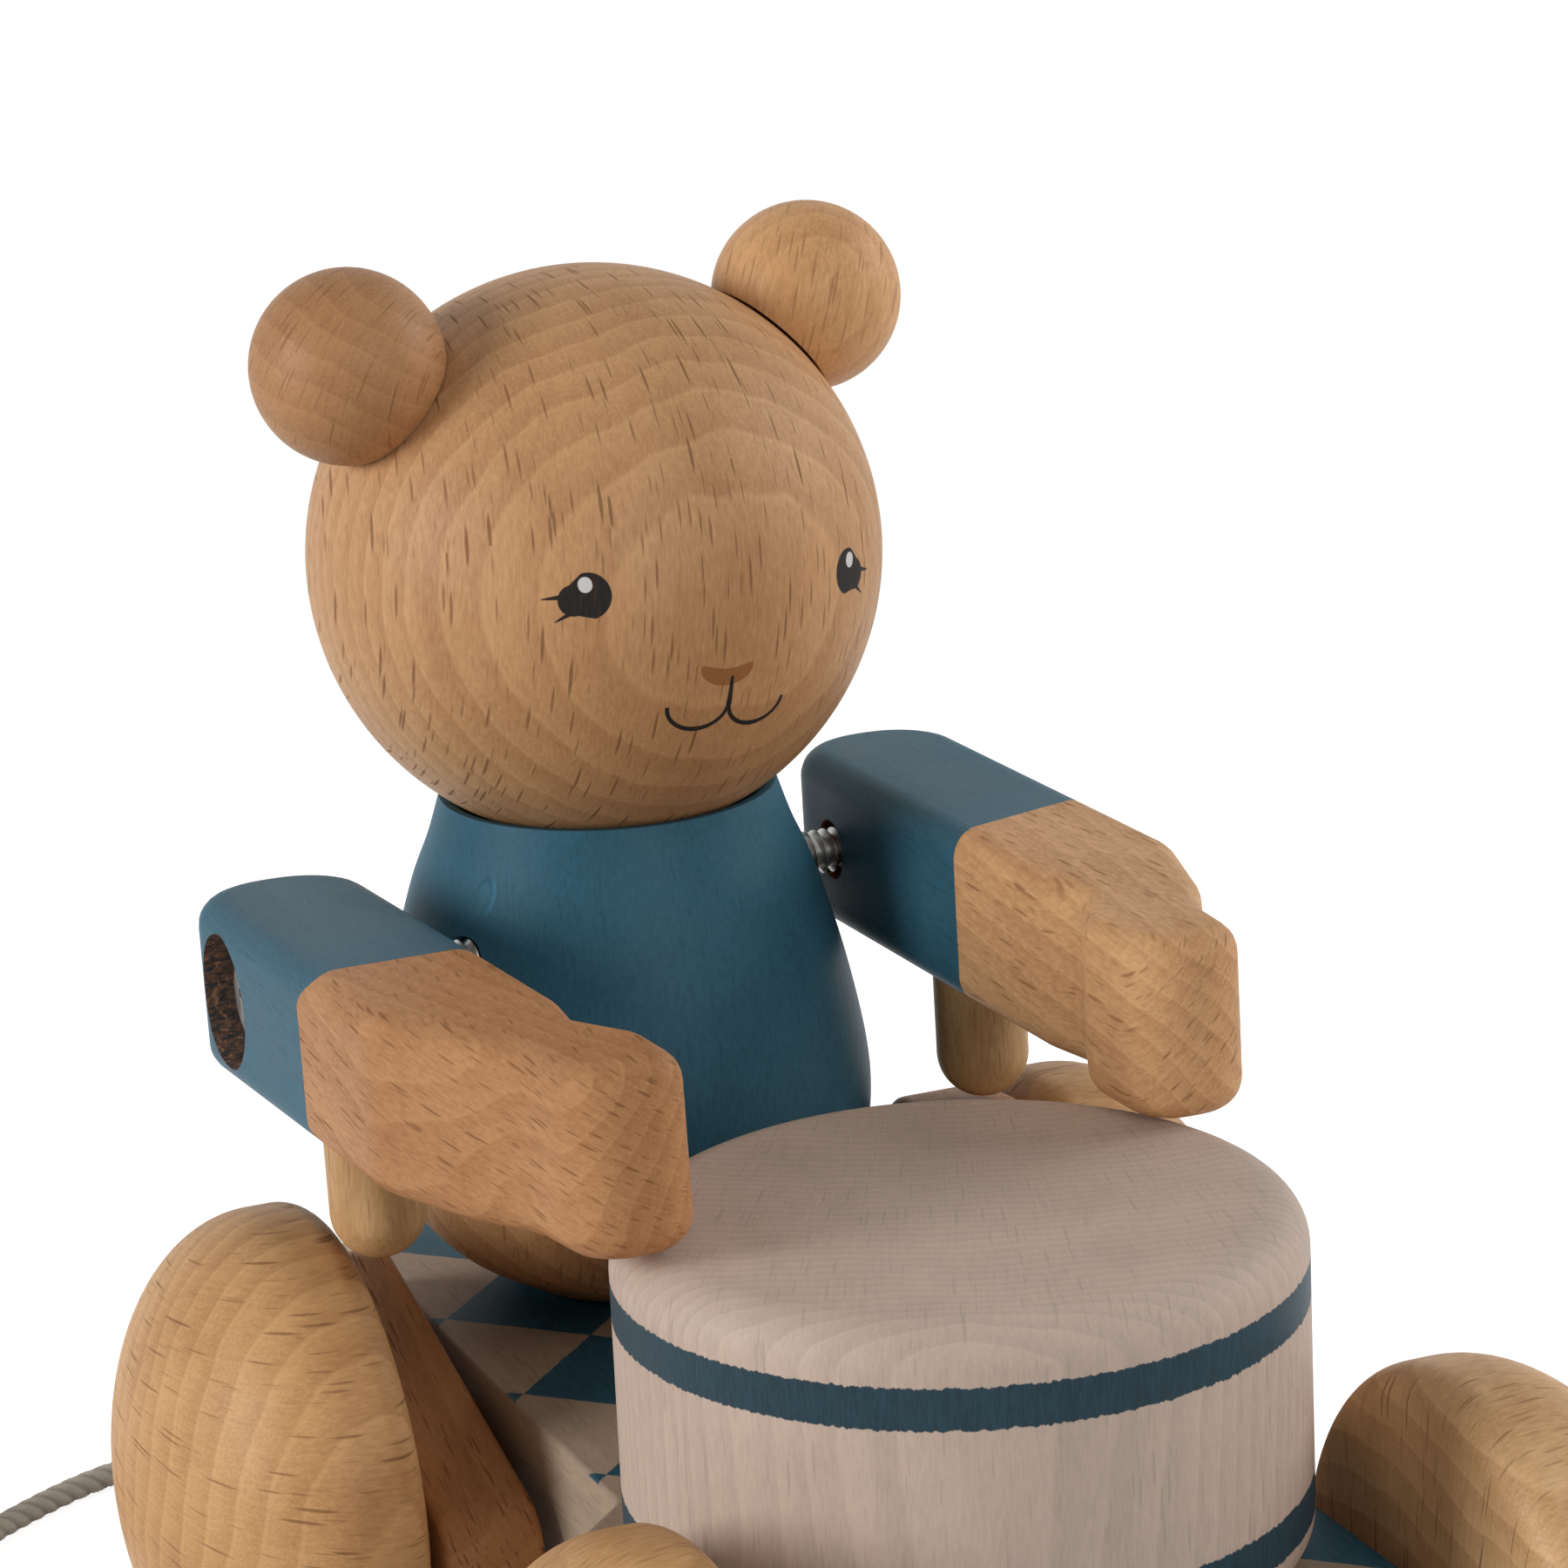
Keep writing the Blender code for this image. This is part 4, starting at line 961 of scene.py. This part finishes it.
def coil_tie(centre, spoke, radius, pitch):
    """A loop of thin wire that holds the coil's two layers."""
    inner = COIL_OUTER - pitch * (COIL_TURNS + 0.125) - radius
    outer = COIL_OUTER + radius
    wide = (outer - inner) / 2 + CORD_CLEAR + TIE
    high = pitch / 2 + radius + CORD_CLEAR + TIE
    middle = centre + spoke * (outer + inner) / 2 + Vector((0, 0, pitch / 2))
    loop = []
    for x, y, first in ((wide, high, 0), (-wide, high, 90), (-wide, -high, 180), (wide, -high, 270)):
        corner = (x - copysign(radius, x), y - copysign(radius, y))
        loop += arc(corner, radius, first, first + 90, 8)
    path = [(middle + spoke * x + Vector((0, 0, y))) * MM for x, y in loop]
    wire = swept(path, TIE * MM, 12, closed=True)
    return piece("coil_tie_wire", wire, steel_finish("tie", (1, 1, 1)), "coil_tie", sharp=60)


def pull_bead(away, radius):
    """The wooden bead that the cord runs through, with its bore's edges eased."""
    bore = radius + 0.4
    centre = corners_of("pull_bead")[2]
    start = degrees(asin((bore + 0.35) / BEAD))
    top = BEAD * cos(radians(start))
    rim = [(bore, top - 0.4), (bore + 0.12, top - 0.1)]
    profile = rim + arc((0, 0), BEAD, 90 - start, start - 90, BEAD_POINTS)
    profile += [(r, -z) for r, z in reversed(rim)] + rim[:1]
    bm = turned([(r * MM, z * MM) for r, z in profile], centre, away, 64)
    look = natural("bead", centre, (3, 20, 0), (1, 0.2, 0))
    return piece("pull_bead_ball", bm, look, "pull_bead")


def end_knot(centre, away, cotton):
    """An overhand knot drawn up behind the bead."""
    side = Vector((-away.y, away.x, 0))
    path = []
    for k in range(KNOT_POINTS):
        t = 2 * pi * k / KNOT_POINTS
        x = sin(t) + 2 * sin(2 * t)
        y = cos(t) - 2 * cos(2 * t)
        path.append((centre + (side * x + Vector((0, 0, y))) * 0.72 - away * sin(3 * t) * 1.1) * MM)
    twist = swept(path, KNOT_STRAND * MM, KNOT_SIDES, STRANDS, radians(KNOT_TWIST), closed=True)
    return piece("bead_knot_twist", twist, cotton, "bead_knot", sharp=80)


class DRUMBEAR_OT_cord(bpy.types.Operator):
    """Lay the pull cord with its tied coil, wooden bead and end knot"""
    bl_idname = "drumbear.cord"
    bl_label = "Pull cord"

    def execute(self, context):
        size = context.scene.bear_sizes
        radius = size.cord_r / MM
        _, high, middle = corners_of("platform")
        mouth = Vector((0, high.y, middle.z)) / MM
        way, start, heading = cord_way(mouth, radius)
        pitch = 2 * radius + COIL_SPACE
        across = Vector((heading.y, -heading.x, 0))
        centre = start + heading * 2 * radius + across * COIL_OUTER
        coil, away = cord_coil(centre, heading, across, pitch)
        path = [point * MM for point in smooth_path(way + coil, CORD_STEP)]
        cotton = cord_finish()
        twist = swept(path, radius * MM, CORD_SIDES, STRANDS, radians(CORD_TWIST))
        cord = piece("pull_cord_twist", twist, cotton, "pull_cord", "cord_coil", sharp=80)
        angle = 2 * pi * TIE_TURN
        tie = coil_tie(centre, heading * sin(angle) - across * cos(angle), radius, pitch)
        bead = pull_bead(away, radius)
        knot = end_knot(coil[-1], away, cotton)
        run = sum((after - before).length for before, after in zip(path, path[1:]))
        return {"FINISHED"}


class DRUMBEAR_OT_board(bpy.types.Operator):
    """Saw the board with its flare, and drill it for the axles, the screws and the cord"""
    bl_idname = "drumbear.board"
    bl_label = "Board"

    def execute(self, context):
        size = context.scene.bear_sizes
        low, high, middle = corners_of("platform")
        corners = [(x * MM, y * MM, BOARD_CORNER * MM) for x, y in BOARD_OUTLINE]
        corners += [(-x, y, radius) for x, y, radius in reversed(corners)]
        bm = plate(corners, size.board_thick, size.board_edge, 4)
        placed(bm, Matrix.Translation((0, 0, middle.z)))
        wide = Vector((high.x + PAST, 0, 0))
        holes = []
        for axle in AXLES.values():
            at = Vector((0, axle.y, axle.z))
            holes.append((at - wide, at + wide, size.axle_r + GAP))
        sinks = []
        for node in ("body", "drum"):
            y = corners_of(node)[2].y
            under = (0, y, low.z - PAST)
            holes.append((under, (0, y, high.z + PAST), BOARD_HOLE_R))
            sinks.append((under, (0, y, low.z + 3 * MM), SINK_R))
        holes.append(((0, high.y - 10 * MM, middle.z), (0, high.y + PAST, middle.z), CORD_HOLE_R))
        piece("board", carved(bm, rods(holes), rods(sinks)), board_finish(high.z), "platform")
        return {"FINISHED"}


class DRUMBEAR_OT_wheels(bpy.types.Operator):
    """Turn the two axles and the four domed wheels"""
    bl_idname = "drumbear.wheels"
    bl_label = "Axles and wheels"

    def execute(self, context):
        size = context.scene.bear_sizes
        radius = size.axle_r
        bore = radius + GAP
        deep = size.axle_grip + GAP
        rim = size.wheel_edge + size.wheel_tread
        dome = [(size.wheel_r * x, rim + size.wheel_dome * y) for x, y in arc((0, 0), 1, 90, 0, 36)]
        edge = arc((size.wheel_r - size.wheel_edge, size.wheel_edge), size.wheel_edge, 0, -90, 10)
        profile = dome + edge + [(bore + 0.3 * MM, 0), (bore, 0.3 * MM), (bore, deep), (0, deep)]
        ease = 0.8 * MM
        for end, axle in AXLES.items():
            low, high, _ = corners_of(f"axle_{end}")
            half = (high.x - low.x) / 2
            shaft = [(0, half), (radius - ease, half), (radius, half - ease), (radius, ease - half),
                     (radius - ease, -half), (0, -half)]
            look = natural(f"axle_{end}", axle, (0, 3, 30), (1, 0, 0))
            piece(f"axle_{end}_dowel", turned(shaft, axle, (1, 0, 0), 48), look, f"axle_{end}")
            for side, sign in SIDES.items():
                name = f"wheel_{end}_{side}"
                place = Vector((sign * (half - size.axle_grip), axle.y, axle.z))
                pith, grain, stain = WHEEL_LOOKS[name]
                middle = place + Vector((sign * 10 * MM, 0, 0))
                look = natural(name, middle, pith, grain, ring=3.4, fleck_depth=3.2, stain=stain)
                piece(f"{name}_turned", turned(profile, place, (sign, 0, 0), 128), look, name)
        return {"FINISHED"}


class DRUMBEAR_OT_cams(bpy.types.Operator):
    """Saw the two oblong cams on the rear axle"""
    bl_idname = "drumbear.cams"
    bl_label = "Cams"

    def execute(self, context):
        size = context.scene.bear_sizes
        corner = CAM_CORNER * MM
        x = size.cam_length / 2
        y = size.cam_width / 2
        corners = [(x, y, corner), (-x, y, corner), (-x, -y, corner), (x, -y, corner)]
        upright = Matrix.Rotation(pi / 2, 4, "Z") @ Matrix.Rotation(pi / 2, 4, "X")
        reach = Vector((size.cam_thick, 0, 0))
        for side, sign in SIDES.items():
            name = f"cam_{side}"
            place = Vector((corners_of(name)[2].x, AXLES["rear"].y, AXLES["rear"].z))
            angle = radians(CAM_ANGLES[side])
            turn = Matrix.Translation(place) @ Matrix.Rotation(angle, 4, "X") @ upright
            bm = placed(plate(corners, size.cam_thick, 1 * MM, 4), turn)
            bm = carved(bm, rods([(place - reach, place + reach, size.axle_r + GAP)]))
            along = (0.04, cos(angle), sin(angle))
            # The cams' darker, redder shares are partly their own beech and partly painted shade on their
            # shaded faces
            look = natural(name, place, (22 * sign, 0, 60), along, ring=3.4, figure=0.4, fleck_depth=0.6,
                           stain=(0.8, 0.68, 0.56))
            piece(f"{name}_sawn", bm, look, name)
        return {"FINISHED"}


class DRUMBEAR_OT_body(bpy.types.Operator):
    """Turn the bell-shaped body with the dish for the head, and drill it for its screws"""
    bl_idname = "drumbear.body"
    bl_label = "Body"

    def execute(self, context):
        size = context.scene.bear_sizes
        low, high, middle = corners_of("body")
        tall = high.z - low.z
        centre = head_centre(size)
        seat = size.head_r + GAP
        hole = size.neck_r + GAP
        up = centre.z - low.z
        floor = up - size.head_r - size.neck_half - GAP
        dish = arc((0, up), seat, degrees(asin(hole / seat)) - 90, degrees(asin(size.dish_r / seat)) - 90, 16)
        curve = smooth_path([(radius * MM, 0, share * tall) for radius, share in BODY_CURVE], 1.1 * MM)
        profile = [(0, floor), (hole, floor)] + dish + [(point.x, point.z) for point in curve]
        profile += PILOT_HOLE
        bm = turned(profile, (middle.x, middle.y, low.z), steps=128)
        holes = []
        for side, sign in SIDES.items():
            tip = span_of(f"shoulder_screw_{side}")[0] - 1 * MM
            _, y, z = SHOULDERS[side]
            holes.append(((sign * tip, y, z), (sign * 30 * MM, y, z), SHOULDER_PILOT_R))
        piece("body_bell", carved(bm, rods(holes, 32)), body_finish(middle), "body")
        redress("neck_dowel", natural("neck_dowel", centre, (10, 20, 0)))
        return {"FINISHED"}


def ball_ear(side, out, centre, size):
    """A ball ear, hollowed to the head's curve and bored for its dowel."""
    seat = size.head_r + GAP
    stand = size.head_r + size.ear_stand
    off = (stand ** 2 + seat ** 2 - size.ear_r ** 2) / (2 * stand)
    rim = sqrt(seat ** 2 - off ** 2)
    ball = arc((0, stand), size.ear_r, 90, degrees(atan2(off - stand, rim)), 48)
    dish = arc((0, 0), seat, degrees(atan2(off, rim)), degrees(acos(EAR_BORE_R / seat)), 10)
    floor = size.head_r + 5.3 * MM
    bm = turned(ball + dish[1:] + [(EAR_BORE_R, floor), (0, floor)], centre, out, 80)
    place = centre + out * stand
    pith, grain, stain, depth = EAR_LOOKS[side]
    look = natural(f"ear_{side}", place, pith, grain, ring=2.6, figure=0.35, flecks=0.6,
                   fleck_depth=depth, stain=stain)
    piece(f"ear_{side}_ball", bm, look, f"ear_{side}")
    redress(f"ear_dowel_{side}", natural(f"ear_dowel_{side}", place, (6, 12, 0), out))


class DRUMBEAR_OT_head(bpy.types.Operator):
    """Turn the ball head with its printed face, and the two ears that are seated on it"""
    bl_idname = "drumbear.head"
    bl_label = "Head and ears"

    def execute(self, context):
        size = context.scene.bear_sizes
        centre = head_centre(size)
        hole = size.neck_r + GAP
        rim = degrees(asin(hole / size.head_r))
        deep = size.neck_half + GAP - size.head_r
        profile = arc((0, 0), size.head_r, 90, rim - 90, 96) + [(hole, deep), (0, deep)]
        angle = radians(EAR_ANGLE)
        turn = Matrix.Rotation(radians(HEAD_TURN), 3, "Z")
        outs = {side: turn @ Vector((sign * cos(angle), 0, sin(angle))) for side, sign in SIDES.items()}
        sockets = [(centre + out * (size.head_r - 10.3 * MM), centre + out * (size.head_r + PAST), EAR_BORE_R)
                   for out in outs.values()]
        bm = carved(turned(profile, centre, steps=144), rods(sockets, 32))
        piece("head_ball", bm, head_finish(centre, size.head_r / MM), "head")
        for side, out in outs.items():
            ball_ear(side, out, centre, size)
        return {"FINISHED"}


class DRUMBEAR_OT_drum(bpy.types.Operator):
    """Turn the solid drum with its rounded rims and stripes"""
    bl_idname = "drumbear.drum"
    bl_label = "Drum"

    def execute(self, context):
        size = context.scene.bear_sizes
        low, high, middle = corners_of("drum")
        tall = high.z - low.z
        edge = size.drum_edge
        inset = (high.x - low.x) / 2 - edge
        profile = [(0, tall), (inset * 0.5, tall)]
        profile += arc((inset, tall - edge), edge, 90, 0, 12) + arc((inset, edge), edge, 0, -90, 12)
        profile += PILOT_HOLE
        bm = turned(profile, (middle.x, middle.y, low.z), steps=144)
        piece("drum_turned", bm, drum_finish(middle), "drum")
        return {"FINISHED"}


def lifting_peg(side, turn, tilt, size):
    """A bullet-ended peg, long enough to clear the cam's circle."""
    foot = Vector((0, -PEG_AHEAD * MM, 0))
    root = turn @ foot
    tip = (root.z - corners_of(f"peg_{side}")[0].z - size.peg_r) / cos(tilt)
    top = 8.7 * MM - size.arm_thick / 2
    ease = 0.6 * MM
    profile = [(0, top), (size.peg_r - ease, top), (size.peg_r, top - ease)]
    profile += arc((0, -tip), size.peg_r, 0, -90, 16)
    bm = placed(turned(profile, foot, steps=64), turn)
    look = natural(f"peg_{side}", root, (12, 30, 0), ring=2.4, figure=0.4, flecks=0.4,
                   stain=(1.04, 1.14, 1.14))
    piece(f"peg_{side}_dowel", bm, look, f"peg_{side}")


class DRUMBEAR_OT_arms(bpy.types.Operator):
    """Saw and round the two arms with their paws, and turn the lifting pegs under them"""
    bl_idname = "drumbear.arms"
    bl_label = "Arms and pegs"

    def execute(self, context):
        size = context.scene.bear_sizes
        drum_top = corners_of("drum")[1].z
        half = ARM_HALF * MM
        under = -size.arm_thick / 2
        ahead = -PEG_AHEAD * MM
        for side, sign in SIDES.items():
            shoulder = SHOULDERS[side]
            tilt = asin((drum_top + GAP - under - shoulder.z) / (PAW_REACH * MM))
            turn = Matrix.Translation(shoulder) @ Matrix.Rotation(-tilt, 4, "X")
            outline = [(sign * x * MM, y * MM, radius * MM) for x, y, radius in ARM_OUTLINE]
            bm = placed(plate(outline, size.arm_thick, size.arm_edge, 7), turn)
            drills = [((-half - PAST, 0, 0), (half + PAST, 0, 0), ARM_BORE_R),
                      ((0, ahead, under - PAST), (0, ahead, under + 9 * MM), size.peg_r + GAP)]
            recess = [((sign * (half - size.counterbore), 0, 0), (sign * (half + PAST), 0, 0),
                       size.counterbore_r)]
            bm = carved(bm, *(placed(rods(holes, 64), turn) for holes in (drills, recess)))
            piece(f"arm_{side}_sawn", bm, arm_finish(side, -tilt), f"arm_{side}")
            lifting_peg(side, turn, tilt, size)
        return {"FINISHED"}


def shoulder_screw(side, at, axis):
    """A pan-headed screw whose thread shows between body and arm."""
    name = f"shoulder_screw_{side}"
    tip, top = span_of(name)
    seat = top - PAN_HEAD_TALL
    dome = abs(SHOULDERS[side].x) + ARM_HALF * MM - PAN_HEAD_SUNK
    turns = int((seat - tip - 1.2 * MM) / THREAD_PITCH) - 1
    neck = tip + (turns + 1) * THREAD_PITCH + 0.05 * MM
    bm = placed(threaded(turns), Matrix.Translation((0, 0, tip)))
    rim = (PAN_HEAD_R - PAN_HEAD_EDGE, dome - PAN_HEAD_EDGE)
    collar = [(0, dome), (2.2 * MM, dome)] + arc(rim, PAN_HEAD_EDGE, 90, 0, 8)
    collar += [(PAN_HEAD_R, seat), (THREAD_R, seat), (THREAD_R, neck), (0, neck)]
    cross = cross_cutter(2.6 * MM, 0.45 * MM, 1.2 * MM, (0, 0, dome), (0, 0, 1))
    cap = mesh_of("cap", carved(turned(collar, steps=64), cross))
    bm.from_mesh(cap)
    bpy.data.meshes.remove(cap)
    piece(f"{name}_threaded", placed(bm, facing(axis, at)), steel_finish(name, (0.4, 2, 2)), name)


def shoulder_washer(side, at, axis):
    """The washer under a shoulder screw's head."""
    name = f"shoulder_washer_{side}"
    inner, outer = span_of(name)
    ease = 0.2 * MM
    ring = [(WASHER_BORE, outer), (WASHER_R - ease, outer), (WASHER_R, outer - ease),
            (WASHER_R, inner + ease), (WASHER_R - ease, inner), (WASHER_BORE, inner)]
    ring.append(ring[0])
    piece(f"{name}_ring", turned(ring, at, axis, 64), steel_finish(name, (2, 0.5, 0.5)), name)


def wood_screw(name):
    """A sunk screw with a cross recess that holds the body or the drum from below."""
    low, high, middle = corners_of(name)
    profile = [(0, high.z), (WOOD_SCREW_R, high.z - 5 * MM), (WOOD_SCREW_R, low.z + 2.3 * MM),
               (WOOD_SCREW_HEAD_R, low.z + 0.5 * MM), (WOOD_SCREW_HEAD_R, low.z), (0, low.z)]
    under = (middle.x, middle.y, low.z)
    cross = cross_cutter(2.2 * MM, 0.42 * MM, 1.2 * MM, under, (0, 0, -1))
    bm = carved(turned(profile, (middle.x, middle.y, 0), steps=48), cross)
    piece(f"{name}_sunk", bm, steel_finish(name, (2, 2, 0.3)), name)


class DRUMBEAR_OT_screws(bpy.types.Operator):
    """Turn the threaded shoulder screws with their washers, and the screws under the board"""
    bl_idname = "drumbear.screws"
    bl_label = "Screws and washers"

    def execute(self, context):
        for side, sign in SIDES.items():
            _, y, z = SHOULDERS[side]
            shoulder_screw(side, (0, y, z), (sign, 0, 0))
            shoulder_washer(side, (0, y, z), (sign, 0, 0))
        for owner in ("body", "drum"):
            wood_screw(f"{owner}_screw")
        return {"FINISHED"}


class DRUMBEAR_PT_panel(bpy.types.Panel):
    """Lists the pieces in the order they are made"""
    bl_idname = "DRUMBEAR_PT_panel"
    bl_label = "Drumming bear"
    bl_space_type = "VIEW_3D"
    bl_region_type = "UI"
    bl_category = "Drum Bear"

    def draw(self, context):
        for operator in OPERATORS:
            self.layout.operator(operator.bl_idname)
        for group in (context.scene.bear_sizes, context.scene.bear_colours, context.scene.bear_stage):
            box = self.layout.box()
            for key in group.__annotations__:
                box.prop(group, key)


OPERATORS = (
    DRUMBEAR_OT_stage, DRUMBEAR_OT_cord, DRUMBEAR_OT_board, DRUMBEAR_OT_wheels, DRUMBEAR_OT_cams,
    DRUMBEAR_OT_body, DRUMBEAR_OT_head, DRUMBEAR_OT_drum, DRUMBEAR_OT_arms, DRUMBEAR_OT_screws)
CLASSES = (BearSizes, BearColours, StageSettings, *OPERATORS, DRUMBEAR_PT_panel)


def register():
    for made in CLASSES:
        bpy.utils.register_class(made)
    bpy.types.Scene.bear_sizes = PointerProperty(type=BearSizes)
    bpy.types.Scene.bear_colours = PointerProperty(type=BearColours)
    bpy.types.Scene.bear_stage = PointerProperty(type=StageSettings)


def unregister():
    del bpy.types.Scene.bear_stage
    del bpy.types.Scene.bear_colours
    del bpy.types.Scene.bear_sizes
    for made in reversed(CLASSES):
        bpy.utils.unregister_class(made)


def main():
    register()
    for operator in OPERATORS:
        group, name = operator.bl_idname.split(".")
        getattr(getattr(bpy.ops, group), name)()


if __name__ == "__main__":
    main()
